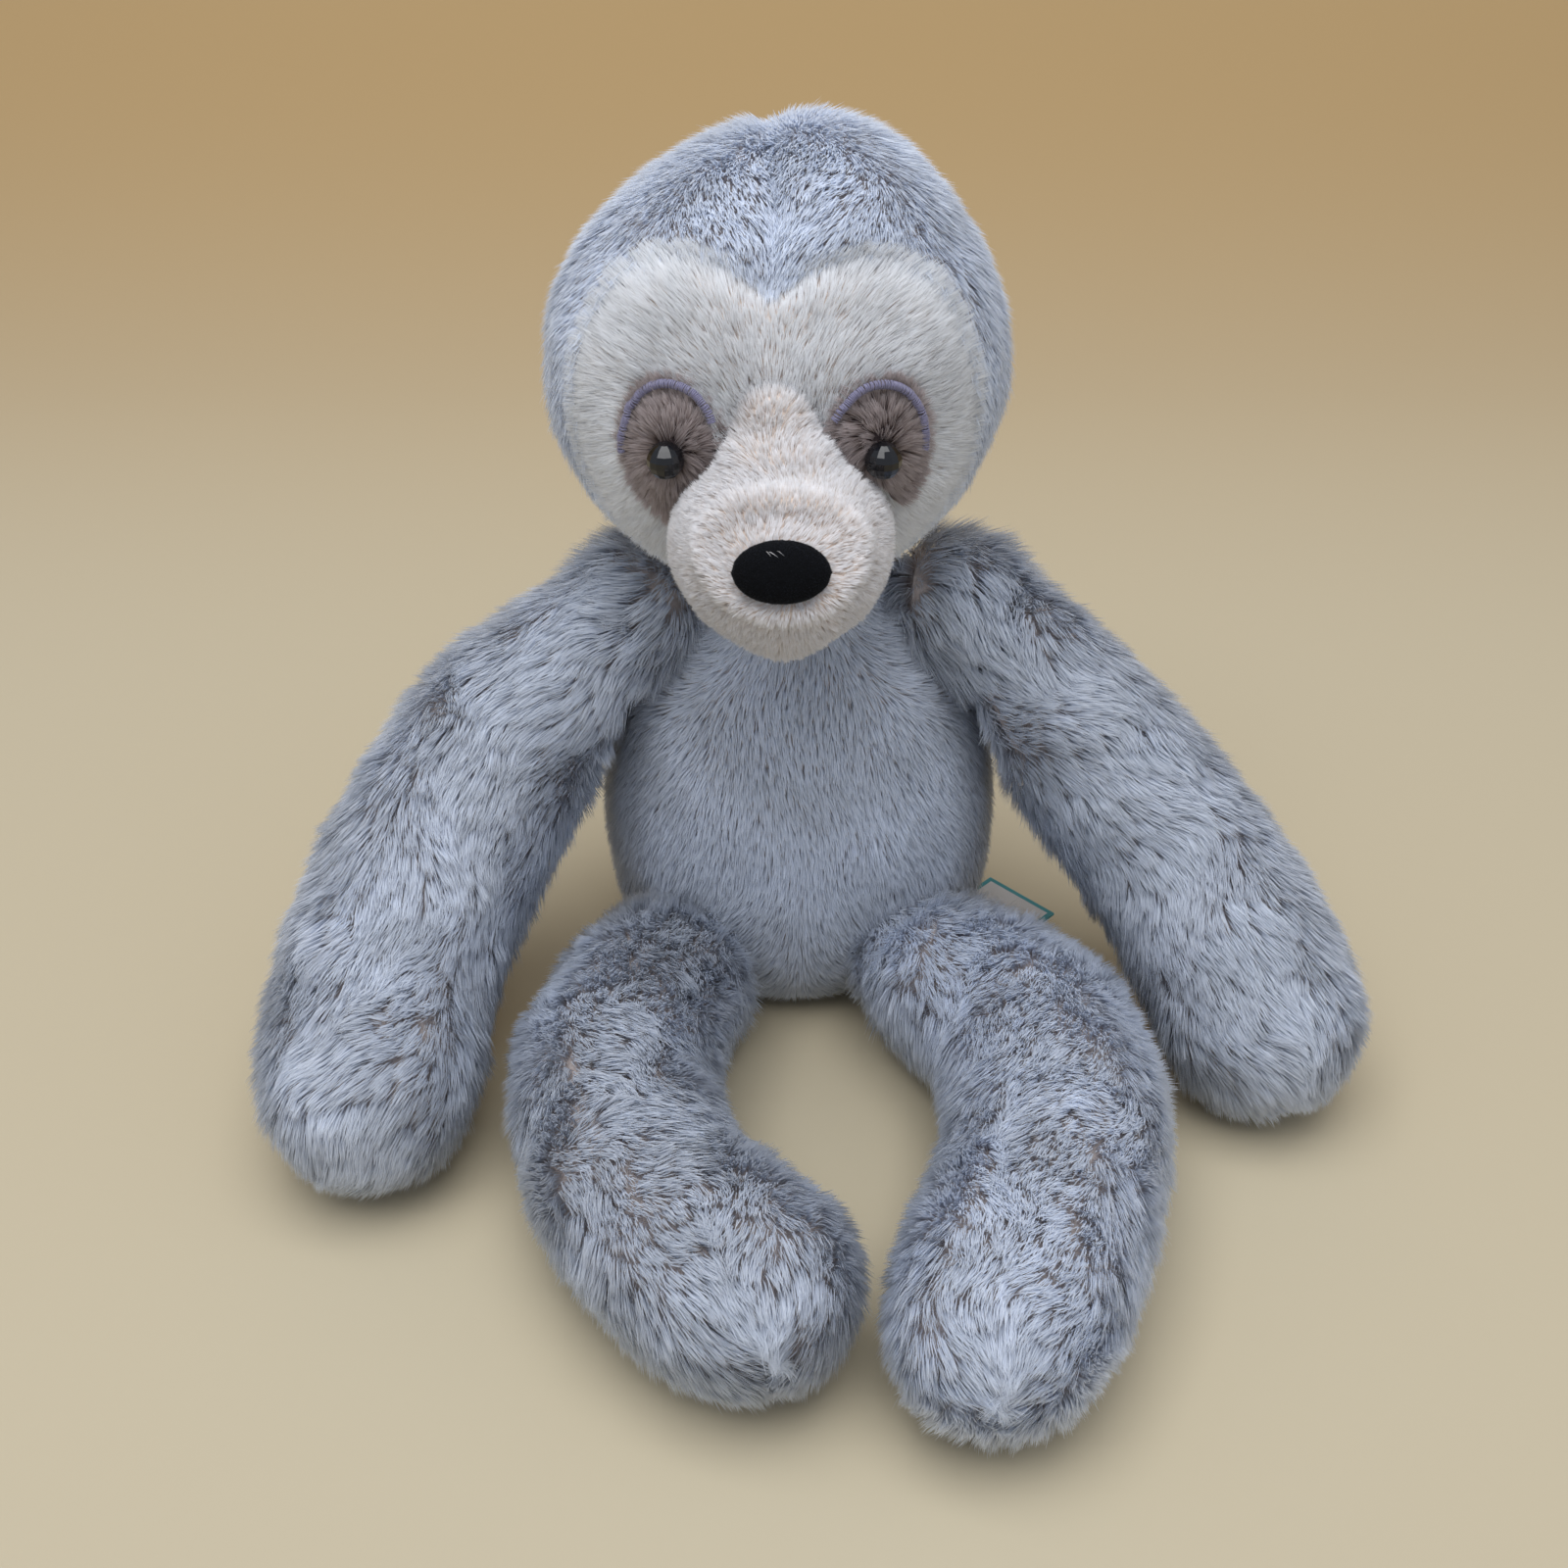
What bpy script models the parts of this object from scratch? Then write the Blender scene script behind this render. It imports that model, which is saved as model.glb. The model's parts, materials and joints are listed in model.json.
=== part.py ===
"""Seated plush sloth: sewn covers, stuffing, safety eyes and label, each its own part.

Metres, +Z up. The toy faces -Y, and the middle of its flat seat is the origin.
Right and left are the toy's own, so its right arm is at -X.
"""
import math
from collections import namedtuple

import bmesh
import bpy
from mathutils import Matrix, Vector

# Sewing
COVER_THICKNESS = 0.0022
SEAM_GAP = 0.0004
SEAT_FLAT = 0.0005
CUTTER_OVERRUN = 0.010
WELD_DISTANCE = 0.00001

# Torso
TORSO_WIDTH = 0.112
TORSO_DEPTH = 0.096
TORSO_HEIGHT = 0.126
SIDE_SEAM_BACK_SET = 0.006
POUCH_WIDTH = 0.066
POUCH_HEIGHT = 0.024

# Neck
NECK_DIAMETER = 0.054
NECK_BACK_SET = 0.006
NECK_RISE = 0.002

# Head
HEAD_WIDTH = 0.1116
HEAD_DEPTH = 0.100
HEAD_HEIGHT = 0.114
HEAD_CLEARANCE = 0.001
HEAD_FORWARD = 0.018
HEAD_LEAN = -0.006
CROWN_LEAN = 0.007
CROWN_PINCH_SHARE = 0.16

# Face
FACE_WIDTH = 0.092
FACE_TOP = 0.0355
FACE_CHIN = 0.047
MUZZLE_WIDTH = 0.050
MUZZLE_DEPTH = 0.060
MUZZLE_HEIGHT = 0.044
MUZZLE_SINK = 0.002
MUZZLE_DROP = 0.020
MUZZLE_SHIFT = 0.0015
NOSE_WIDTH = 0.0206
NOSE_HEIGHT = 0.0135
NOSE_THICKNESS = 0.008
NOSE_TILT = math.radians(14)
EYE_SPACING = 0.0436
EYE_DROP = 0.0018
EYE_DIAMETER = 0.0080
EYE_PROUD = 0.0024
SHANK_DIAMETER = 0.0026
SHANK_LENGTH = 0.0090
WASHER_DIAMETER = 0.0100
WASHER_THICKNESS = 0.0010
WASHER_CLEARANCE = 0.0013
PATCH_WIDTH = 0.0196
PATCH_TOP = 0.0138
PATCH_TAIL = 0.0185
PATCH_THICKNESS = 0.0012
PATCH_PINCH_SHARE = 0.45
PATCH_PINCH_POWER = 1.5
STITCH_DIAMETER = 0.0018
STITCH_START = math.radians(-5)
STITCH_END = math.radians(160)

# Limbs
ARM_THICKNESS = 0.057
ARM_SOCKET_DIAMETER = 0.052
SHOULDER_INSET = 0.020
SHOULDER_FORWARD = 0.005
SHOULDER_DROP = 0.010
RIGHT_ARM_SPREAD = 0.0700
RIGHT_ARM_FORWARD = 0.083
LEFT_ARM_SPREAD = 0.081
LEFT_ARM_FORWARD = 0.058
LEG_THICKNESS = 0.0535
LEG_SOCKET_DIAMETER = 0.060
HIP_WIDTH = 0.056
HIP_BACK_SET = 0.017
HIP_HEIGHT = 0.0235
RIGHT_LEG_SPREAD = 0.0180
RIGHT_LEG_FORWARD = 0.119
LEFT_LEG_SPREAD = 0.0335
LEFT_LEG_FORWARD = 0.125

ARM_SWING_STEPS = [math.radians(a) for a in (-20, -15, -10, -5, 5, 10, 15, 20, 25, 30, 35)]
LEG_LIFT_STEPS = [math.radians(a) for a in (9, 18, 27)]

# Label
LABEL_WIDTH = 0.024
LABEL_THICKNESS = 0.0008
LABEL_PROUD = 0.0185
LABEL_HEIGHT = 0.0075

# Faceting
BALL_SEGMENTS = 14
BALL_RINGS = 9
NECK_SEGMENTS = 20
NECK_RINGS = 14
HEAD_SEGMENTS = 20
HEAD_RINGS = 12
ROD_SEGMENTS = 16
TORSO_BEVEL_RESOLUTION = 7
LIMB_BEVEL_RESOLUTION = 4
STITCH_BEVEL_RESOLUTION = 2
TORSO_RINGS = 13
LIMB_RINGS = 12
TIP_ANGLES = [math.radians(a) for a in (24, 46, 66, 82)]
STITCH_STEPS = 12
OUTLINE_STEPS = 16

# Shares of height and of half width, from the seat to the neck
TORSO_GIRTH_SHARES = [
    (0.00, 0.60), (0.035, 0.75), (0.12, 0.90), (0.24, 0.98), (0.40, 1.00),
    (0.57, 0.96), (0.72, 0.86), (0.85, 0.73), (0.95, 0.56), (1.00, 0.42),
]
# Shares of spread, forward reach, drop and half thickness, from inside the torso to the paw
RIGHT_ARM_SHARES = [
    (-0.22, -0.02, 0.00, 0.50), (0.00, 0.00, 0.00, 0.62), (0.20, 0.10, 0.11, 0.76),
    (0.53, 0.19, 0.33, 0.93), (0.78, 0.37, 0.60, 1.00), (0.96, 0.66, 0.85, 1.02),
    (1.00, 1.00, 1.00, 0.98),
]
LEFT_ARM_SHARES = [
    (-0.18, -0.02, 0.00, 0.50), (0.00, 0.00, 0.00, 0.62), (0.18, 0.08, 0.12, 0.74),
    (0.46, 0.26, 0.38, 0.85), (0.74, 0.46, 0.66, 0.91), (0.93, 0.78, 0.87, 0.96),
    (1.00, 1.00, 1.00, 0.96),
]
# Shares of spread, forward reach and half thickness: a leg lies on the ground
RIGHT_LEG_SHARES = [
    (-0.30, -0.09, 0.62), (0.00, 0.00, 0.72), (0.34, 0.13, 0.88), (0.92, 0.36, 0.98),
    (0.88, 0.62, 0.99), (0.26, 0.83, 1.00), (-0.38, 0.95, 1.00), (-0.90, 1.00, 0.98),
]
LEFT_LEG_SHARES = [
    (-0.22, -0.09, 0.62), (0.00, 0.00, 0.72), (0.30, 0.12, 0.88), (0.84, 0.30, 0.99),
    (1.00, 0.56, 1.04), (0.80, 0.79, 1.02), (0.56, 0.95, 1.00), (0.42, 1.03, 0.97),
]
# Shares of half face width and, above or below the head's middle, of FACE_TOP or FACE_CHIN
FACE_SHARES = [
    (0.00, 0.88), (0.20, 0.96), (0.48, 1.00), (0.76, 0.82), (0.95, 0.38), (1.00, -0.05),
    (0.93, -0.40), (0.78, -0.70), (0.50, -0.92), (0.00, -1.00),
]

GREY_FUR = (0.42, 0.39, 0.38)
CREAM_FUR = (0.72, 0.67, 0.60)
PATCH_FUR = (0.20, 0.155, 0.145)
THREAD = (0.20, 0.18, 0.25)
VELOUR = (0.006, 0.006, 0.009)
EYE_BLACK = (0.004, 0.005, 0.010)
FIBRE = (0.86, 0.86, 0.84)
POUCH_CLOTH = (0.75, 0.73, 0.68)
NYLON = (0.80, 0.80, 0.78)
LABEL_CLOTH = (0.85, 0.86, 0.85)

FILLING_INSET = COVER_THICKNESS + SEAM_GAP
HEAD_CENTRE = Vector((HEAD_LEAN, -HEAD_FORWARD, TORSO_HEIGHT + HEAD_CLEARANCE + HEAD_HEIGHT / 2))
NECK_PIVOT = Vector((HEAD_LEAN / 2, -NECK_BACK_SET, TORSO_HEIGHT + NECK_RISE))
MUZZLE_FORWARD = HEAD_DEPTH / 2 - MUZZLE_SINK
MUZZLE_CENTRE = HEAD_CENTRE + Vector((MUZZLE_SHIFT, -MUZZLE_FORWARD, -MUZZLE_DROP))

for old in list(bpy.data.objects):
    bpy.data.objects.remove(old)
toy = bpy.data.collections.new("plush_sloth")
guides = bpy.data.collections.new("cutters")
bpy.context.scene.collection.children.link(toy)
bpy.context.scene.collection.children.link(guides)


def fabric(name, colour, roughness=0.9):
    """Make a plain matt material in the colour of one cloth."""
    material = bpy.data.materials.new(name)
    material.use_nodes = True
    shader = material.node_tree.nodes["Principled BSDF"]
    shader.inputs["Base Color"].default_value = (*colour, 1)
    shader.inputs["Roughness"].default_value = roughness
    return material


def put(name, mesh, material=None):
    """Place a mesh in the toy, or among the cutters where it has no material.

    Its faces become triangles first, because only flat faces cut cleanly.
    """
    shape = bmesh.new()
    shape.from_mesh(mesh)
    bmesh.ops.triangulate(shape, faces=shape.faces)
    shape.to_mesh(mesh)
    shape.free()
    piece = bpy.data.objects.new(name, mesh)
    mesh.shade_smooth()
    if material:
        mesh.materials.clear()
        mesh.materials.append(material)
        toy.objects.link(piece)
    else:
        guides.objects.link(piece)
        piece.hide_render = True
        piece.display_type = "WIRE"
    return piece


def boolean(piece, operation, *cutters):
    """Cut or join a piece by other meshes, in order."""
    for cutter in cutters:
        step = piece.modifiers.new(cutter.name, "BOOLEAN")
        step.operation = operation
        step.solver = "EXACT"
        step.object = cutter
    return piece


def mesh_of_curve(curve):
    """Turn a curve into a closed mesh, with its loose caps welded on."""
    holder = bpy.data.objects.new("curve", curve)
    bpy.context.scene.collection.objects.link(holder)
    graph = bpy.context.evaluated_depsgraph_get()
    mesh = bpy.data.meshes.new_from_object(holder.evaluated_get(graph))
    bpy.data.objects.remove(holder)
    shape = bmesh.new()
    shape.from_mesh(mesh)
    bmesh.ops.remove_doubles(shape, verts=shape.verts, dist=WELD_DISTANCE)
    bmesh.ops.recalc_face_normals(shape, faces=shape.faces)
    shape.to_mesh(mesh)
    shape.free()
    return mesh


def ellipsoid(name, centre, radii, turn=Matrix.Identity(4), segments=BALL_SEGMENTS,
              rings=BALL_RINGS, material=None):
    """Make a ball, stretched to three radii, turned and set on its centre."""
    shape = bmesh.new()
    bmesh.ops.create_uvsphere(shape, u_segments=segments, v_segments=rings, radius=1)
    place = Matrix.Translation(centre) @ turn @ Matrix.Diagonal((*radii, 1))
    bmesh.ops.transform(shape, matrix=place, verts=shape.verts)
    mesh = bpy.data.meshes.new(name)
    shape.to_mesh(mesh)
    shape.free()
    return put(name, mesh, material)


def ball(name, centre, radius, material=None, segments=BALL_SEGMENTS, rings=BALL_RINGS):
    radii = (radius, radius, radius)
    return ellipsoid(name, centre, radii, segments=segments, rings=rings, material=material)


def rod(name, centre, radius, length, turn, material=None):
    """Make a cylinder along the turned Z axis."""
    shape = bmesh.new()
    bmesh.ops.create_cone(shape, cap_ends=True, segments=ROD_SEGMENTS, radius1=radius,
                          radius2=radius, depth=length)
    bmesh.ops.transform(shape, matrix=Matrix.Translation(centre) @ turn, verts=shape.verts)
    mesh = bpy.data.meshes.new(name)
    shape.to_mesh(mesh)
    shape.free()
    return put(name, mesh, material)


def block(name, low, high):
    """Make a box between two corners, as a cutter."""
    low = Vector(low)
    size = Vector(high) - low
    shape = bmesh.new()
    bmesh.ops.create_cube(shape, size=1)
    place = Matrix.Translation(low + size / 2) @ Matrix.Diagonal((*size, 1))
    bmesh.ops.transform(shape, matrix=place, verts=shape.verts)
    mesh = bpy.data.meshes.new(name)
    shape.to_mesh(mesh)
    shape.free()
    return put(name, mesh)


def smooth_knots(knots, count):
    """Read evenly spaced points from a smooth curve through the knots."""
    padded = [2 * knots[0] - knots[1], *knots, 2 * knots[-1] - knots[-2]]
    points = []
    for step in range(count):
        place = step / (count - 1) * (len(knots) - 1)
        i = min(int(place), len(knots) - 2)
        t = place - i
        a, b, c, d = padded[i:i + 4]
        points.append(b + (c - a) * (t / 2) + (2 * a - 5 * b + 4 * c - d) * (t * t / 2)
                      + (3 * b - a - 3 * c + d) * (t ** 3 / 2))
    return points


def tube(name, stations, bevel_resolution):
    """Make a closed tube through (centre, radius) stations."""
    curve = bpy.data.curves.new(name, "CURVE")
    curve.dimensions = "3D"
    curve.bevel_depth = max(radius for _, radius in stations)
    curve.bevel_resolution = bevel_resolution
    curve.use_fill_caps = True
    spline = curve.splines.new("POLY")
    spline.points.add(len(stations) - 1)
    for point, (centre, radius) in zip(spline.points, stations):
        point.co = (*centre, 1)
        point.radius = radius / curve.bevel_depth
    return mesh_of_curve(curve)


# The torso is an egg with a flat seat, a little shallower than it is wide

def torso_form(name, inset, material=None):
    """Make the torso's egg, smaller by the inset all round."""
    knots = [Vector((height, girth)) for height, girth in TORSO_GIRTH_SHARES]
    stations = []
    for height, girth in smooth_knots(knots, TORSO_RINGS):
        z = -SEAT_FLAT + inset + height * (TORSO_HEIGHT + SEAT_FLAT - 2 * inset)
        stations.append((Vector((0, 0, z)), girth * TORSO_WIDTH / 2 - inset))
    mesh = tube(name, stations, TORSO_BEVEL_RESOLUTION)
    depth_share = (TORSO_DEPTH / 2 - inset) / (TORSO_WIDTH / 2 - inset)
    mesh.transform(Matrix.Diagonal((1, depth_share, 1, 1)))
    return put(name, mesh, material)


far = 2 * TORSO_WIDTH
ground = block("ground", (-far, -far, -CUTTER_OVERRUN), (far, far, 0))
front_space = block("front_space", (-far, -far, -far), (far, SIDE_SEAM_BACK_SET, 2 * far))
back_space = block("back_space", (-far, SIDE_SEAM_BACK_SET - SEAM_GAP, -far), (far, far, 2 * far))
torso_room = torso_form("torso_room", COVER_THICKNESS)
torso_clearance = torso_form("torso_clearance", -SEAM_GAP)
neck_flats = math.cos(math.pi / NECK_SEGMENTS) * math.cos(math.pi / (2 * NECK_RINGS))
neck_room = ball("neck_room", NECK_PIVOT, (NECK_DIAMETER / 2 + SEAM_GAP) / neck_flats,
                 segments=NECK_SEGMENTS, rings=NECK_RINGS)
grey_fur = fabric("grey_long_pile", GREY_FUR)
fibre = fabric("polyester_fibre", FIBRE)

front_panel = torso_form("torso_front_panel", 0, grey_fur)
boolean(front_panel, "DIFFERENCE", torso_room, neck_room, back_space, ground)
back_panel = torso_form("torso_back_panel", 0, grey_fur)
boolean(back_panel, "DIFFERENCE", torso_room, neck_room, front_space, ground)

pouch_floor = COVER_THICKNESS - SEAT_FLAT + SEAM_GAP
pouch_centre = Vector((0, 0, pouch_floor + SEAM_GAP + POUCH_HEIGHT / 2))
pouch_depth = POUCH_WIDTH * TORSO_DEPTH / TORSO_WIDTH
pouch_radii = Vector((POUCH_WIDTH / 2, pouch_depth / 2, POUCH_HEIGHT / 2))
pouch_gap = Vector((SEAM_GAP, SEAM_GAP, 2 * SEAM_GAP))
ellipsoid("seat_bean_pouch", pouch_centre, pouch_radii,
          material=fabric("pouch_cotton", POUCH_CLOTH))
pouch_room = ellipsoid("pouch_room", pouch_centre, pouch_radii + pouch_gap)
torso_filling = torso_form("torso_filling", FILLING_INSET, fibre)
boolean(torso_filling, "DIFFERENCE", neck_room, pouch_room)

# The neck turns in both, so the room round it clears its corners with its flats
ball("neck_gather", NECK_PIVOT, NECK_DIAMETER / 2, fabric("neck_fur", GREY_FUR),
     segments=NECK_SEGMENTS, rings=NECK_RINGS)


# The head is a wide egg whose crown leans a little to the toy's left

def head_form(name, inset, material=None):
    """Make the head's egg, smaller by the inset all round."""
    radii = (HEAD_WIDTH / 2 - inset, HEAD_DEPTH / 2 - inset, HEAD_HEIGHT / 2 - inset)
    form = ellipsoid(name, (0, 0, 0), radii, segments=HEAD_SEGMENTS,
                     rings=HEAD_RINGS, material=material)
    for vertex in form.data.vertices:
        height_share = vertex.co.z / (HEAD_HEIGHT / 2)
        vertex.co.x *= 1 - CROWN_PINCH_SHARE * max(0, height_share) ** 2
        vertex.co.x += CROWN_LEAN * max(0, height_share) ** 3
        vertex.co += HEAD_CENTRE
    return form


def head_surface(x, z, lift):
    """Find the point on the head's front at x and z from its middle, and its normal."""
    a, b, c = HEAD_WIDTH / 2, HEAD_DEPTH / 2, HEAD_HEIGHT / 2
    y = -b * math.sqrt(max(0, 1 - (x / a) ** 2 - (z / c) ** 2))
    normal = Vector((x / a ** 2, y / b ** 2, z / c ** 2)).normalized()
    return HEAD_CENTRE + Vector((x, y, z)) + normal * lift, normal


def front_outline(name, points, centre):
    """Stand a closed outline of (x, z) points up as a block from the head's middle forwards."""
    curve = bpy.data.curves.new(name, "CURVE")
    curve.dimensions = "2D"
    curve.fill_mode = "BOTH"
    curve.extrude = HEAD_DEPTH / 2
    spline = curve.splines.new("POLY")
    spline.use_cyclic_u = True
    spline.points.add(len(points) - 1)
    for point, (x, z) in zip(spline.points, points):
        point.co = (x, z, 0, 1)
    mesh = mesh_of_curve(curve)
    stand = Matrix.Translation(centre + Vector((0, -HEAD_DEPTH / 2, 0))) @ Matrix.Rotation(
        math.radians(90), 4, "X")
    mesh.transform(stand)
    return put(name, mesh)


def face_outline(grow):
    """List the heart-shaped face's points, grown outwards a little."""
    half = [(x * (FACE_WIDTH / 2 + grow), z * ((FACE_TOP if z > 0 else FACE_CHIN) + grow))
            for x, z in FACE_SHARES]
    left = smooth_knots([Vector(p) for p in half], OUTLINE_STEPS)
    right = [Vector((-x, z)) for x, z in left[-2:0:-1]]
    return left + right


def patch_outline(side, grow, start=0, end=2 * math.pi, steps=OUTLINE_STEPS):
    """List a drop-shaped eye patch's points, with the eye at (0, 0), grown outwards."""
    points = []
    for step in range(steps):
        angle = start + (end - start) * step / steps
        rise = PATCH_TOP if math.sin(angle) > 0 else PATCH_TAIL
        pinch = 1 - PATCH_PINCH_SHARE * max(0, -math.sin(angle)) ** PATCH_PINCH_POWER
        x = side * math.cos(angle) * (PATCH_WIDTH / 2 * pinch + grow)
        points.append(Vector((x, math.sin(angle) * (rise + grow))))
    return points


cream_fur = fabric("cream_long_pile", CREAM_FUR)
short_pile = fabric("cream_short_pile", CREAM_FUR)
head_room = head_form("head_room", COVER_THICKNESS)
head_clearance = head_form("head_clearance", -SEAM_GAP)
face_block = front_outline("face_block", face_outline(0), HEAD_CENTRE)
face_clearance = front_outline("face_clearance", face_outline(SEAM_GAP), HEAD_CENTRE)
middle = HEAD_CENTRE.x
right_space = block("right_space", (-far, -far, 0), (middle + SEAM_GAP / 2, far, 2 * far))
left_space = block("left_space", (middle - SEAM_GAP / 2, -far, 0), (far, far, 2 * far))


def muzzle_form(name, inset, material=None):
    radii = (MUZZLE_WIDTH / 2 - inset, MUZZLE_DEPTH / 2 - inset, MUZZLE_HEIGHT / 2 - inset)
    return ellipsoid(name, MUZZLE_CENTRE, radii, material=material)


muzzle_room = muzzle_form("muzzle_room", COVER_THICKNESS)
muzzle_clearance = muzzle_form("muzzle_clearance", -SEAM_GAP)

for name, other_side in (("hood_right", left_space), ("hood_left", right_space)):
    hood = head_form(name, 0, grey_fur)
    boolean(hood, "DIFFERENCE", head_room, neck_room, face_clearance, other_side)
face_panel = head_form("face_panel", 0, cream_fur)
boolean(face_panel, "DIFFERENCE", head_room)
boolean(face_panel, "INTERSECT", face_block)
boolean(face_panel, "DIFFERENCE", muzzle_room, neck_room)
head_filling = head_form("head_filling", FILLING_INSET, fibre)
boolean(head_filling, "DIFFERENCE", neck_room)

muzzle_cover = muzzle_form("muzzle_cover", 0, short_pile)
boolean(muzzle_cover, "DIFFERENCE", muzzle_room, head_clearance)
muzzle_filling = muzzle_form("muzzle_filling", FILLING_INSET, fibre)
boolean(muzzle_filling, "DIFFERENCE", head_room)

nose_direction = Vector((0, -math.cos(NOSE_TILT), math.sin(NOSE_TILT)))
nose_reach = 1 / math.sqrt((nose_direction.y / (MUZZLE_DEPTH / 2)) ** 2
                           + (nose_direction.z / (MUZZLE_HEIGHT / 2)) ** 2)
nose_turn = nose_direction.to_track_quat("Z", "X").to_matrix().to_4x4()
nose = ellipsoid("nose_pad", MUZZLE_CENTRE + nose_direction * nose_reach,
                 (NOSE_HEIGHT / 2, NOSE_WIDTH / 2, NOSE_THICKNESS / 2), nose_turn,
                 material=fabric("black_velour", VELOUR, 0.7))
boolean(nose, "DIFFERENCE", muzzle_clearance)

# Each eye is a bead on a shank, held by a washer behind the face panel

patch_fur = fabric("mauve_brown_pile", PATCH_FUR)
thread = fabric("satin_thread", THREAD, 0.45)
eye_black = fabric("eye_acrylic", EYE_BLACK, 0.08)
nylon = fabric("washer_nylon", NYLON, 0.5)
patch_base = head_form("patch_base", -SEAM_GAP)

for side_name, side in (("right", -1), ("left", 1)):
    x, z = side * EYE_SPACING / 2, -EYE_DROP
    seat, normal = head_surface(x, z, 0)
    turn = normal.to_track_quat("Z", "Y").to_matrix().to_4x4()
    bead_centre = seat + normal * EYE_PROUD
    shank_centre = bead_centre - normal * SHANK_LENGTH / 2
    eye = ball(side_name + "_eye", bead_centre, EYE_DIAMETER / 2, eye_black)
    boolean(eye, "UNION", rod(side_name + "_shank", shank_centre, SHANK_DIAMETER / 2,
                              SHANK_LENGTH, turn))
    bead_room = ball(side_name + "_bead_room", bead_centre, EYE_DIAMETER / 2 + SEAM_GAP)
    shank_room = rod(side_name + "_shank_room", shank_centre, SHANK_DIAMETER / 2 + SEAM_GAP,
                     SHANK_LENGTH + 2 * SEAM_GAP, turn)
    washer_depth = COVER_THICKNESS + WASHER_CLEARANCE + WASHER_THICKNESS / 2
    washer = rod(side_name + "_eye_washer", seat - normal * washer_depth,
                 WASHER_DIAMETER / 2, WASHER_THICKNESS, turn, nylon)
    boolean(washer, "DIFFERENCE", shank_room)
    pocket_floor = SHANK_LENGTH - EYE_PROUD + SEAM_GAP
    pocket = rod(side_name + "_pocket", seat - normal * pocket_floor / 2,
                 WASHER_DIAMETER / 2 + SEAM_GAP, pocket_floor, turn)
    boolean(head_filling, "DIFFERENCE", pocket)

    eye_place = HEAD_CENTRE + Vector((x, 0, z))
    patch_block = front_outline(side_name + "_patch_block", patch_outline(side, 0), eye_place)
    patch = head_form(side_name + "_eye_patch", -SEAM_GAP - PATCH_THICKNESS, patch_fur)
    boolean(patch, "DIFFERENCE", patch_base)
    boolean(patch, "INTERSECT", patch_block)
    boolean(patch, "DIFFERENCE", bead_room, shank_room, muzzle_clearance)
    boolean(face_panel, "DIFFERENCE", bead_room, shank_room)

    stitch_lift = STITCH_DIAMETER / 2 + SEAM_GAP
    arc = patch_outline(side, stitch_lift, STITCH_START, STITCH_END, STITCH_STEPS)
    stations = [(head_surface(x + dx, z + dz, stitch_lift)[0], STITCH_DIAMETER / 2)
                for dx, dz in arc]
    put(side_name + "_brow_stitching", tube("stitching", stations, STITCH_BEVEL_RESOLUTION),
        thread)

# A limb swells from its gathered root to a round paw or foot

Limb = namedtuple("Limb", "name pivot spread forward thickness socket steps shares")


def limb_stations(limb, inset):
    """List the (centre, radius) stations of a limb, with a round tip."""
    knots = []
    for *place, girth in limb.shares:
        radius = girth * limb.thickness / 2
        x = limb.pivot.x + place[0] * limb.spread
        y = limb.pivot.y - place[1] * limb.forward
        if len(place) > 2:
            paw_height = limb.shares[-1][-1] * limb.thickness / 2 - SEAT_FLAT
            z = limb.pivot.z - place[2] * (limb.pivot.z - paw_height)
        else:
            z = max(radius - SEAT_FLAT, limb.pivot.z * min(1, 1 - place[1]))
        knots.append(Vector((x, y, z, radius)))
    points = smooth_knots(knots, LIMB_RINGS)
    stations = [(point.xyz, point.w - inset) for point in points]
    end, radius = stations[-1]
    onwards = (end - stations[-2][0]).normalized()
    for angle in TIP_ANGLES:
        stations.append((end + onwards * (radius * math.sin(angle)), radius * math.cos(angle)))
    return stations


def limb_form(name, limb, inset, material=None):
    mesh = tube(name, limb_stations(limb, inset), LIMB_BEVEL_RESOLUTION)
    return put(name, mesh, material)


def torso_as_met(limb):
    """Make one convex cutter round the torso as the limb meets it at all its angles."""
    shape = bmesh.new()
    for angle in (0, *limb.steps):
        turn = Matrix.Rotation(angle, 4, "X")
        place = Matrix.Translation(limb.pivot) @ turn @ Matrix.Translation(-limb.pivot)
        for vertex in torso_clearance.data.vertices:
            shape.verts.new(place @ vertex.co)
    bmesh.ops.convex_hull(shape, input=shape.verts)
    inner = [vertex for vertex in shape.verts if not vertex.link_faces]
    bmesh.ops.delete(shape, geom=inner, context="VERTS")
    mesh = bpy.data.meshes.new(limb.name + "_torso")
    shape.to_mesh(mesh)
    shape.free()
    return put(limb.name + "_torso", mesh)


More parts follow.
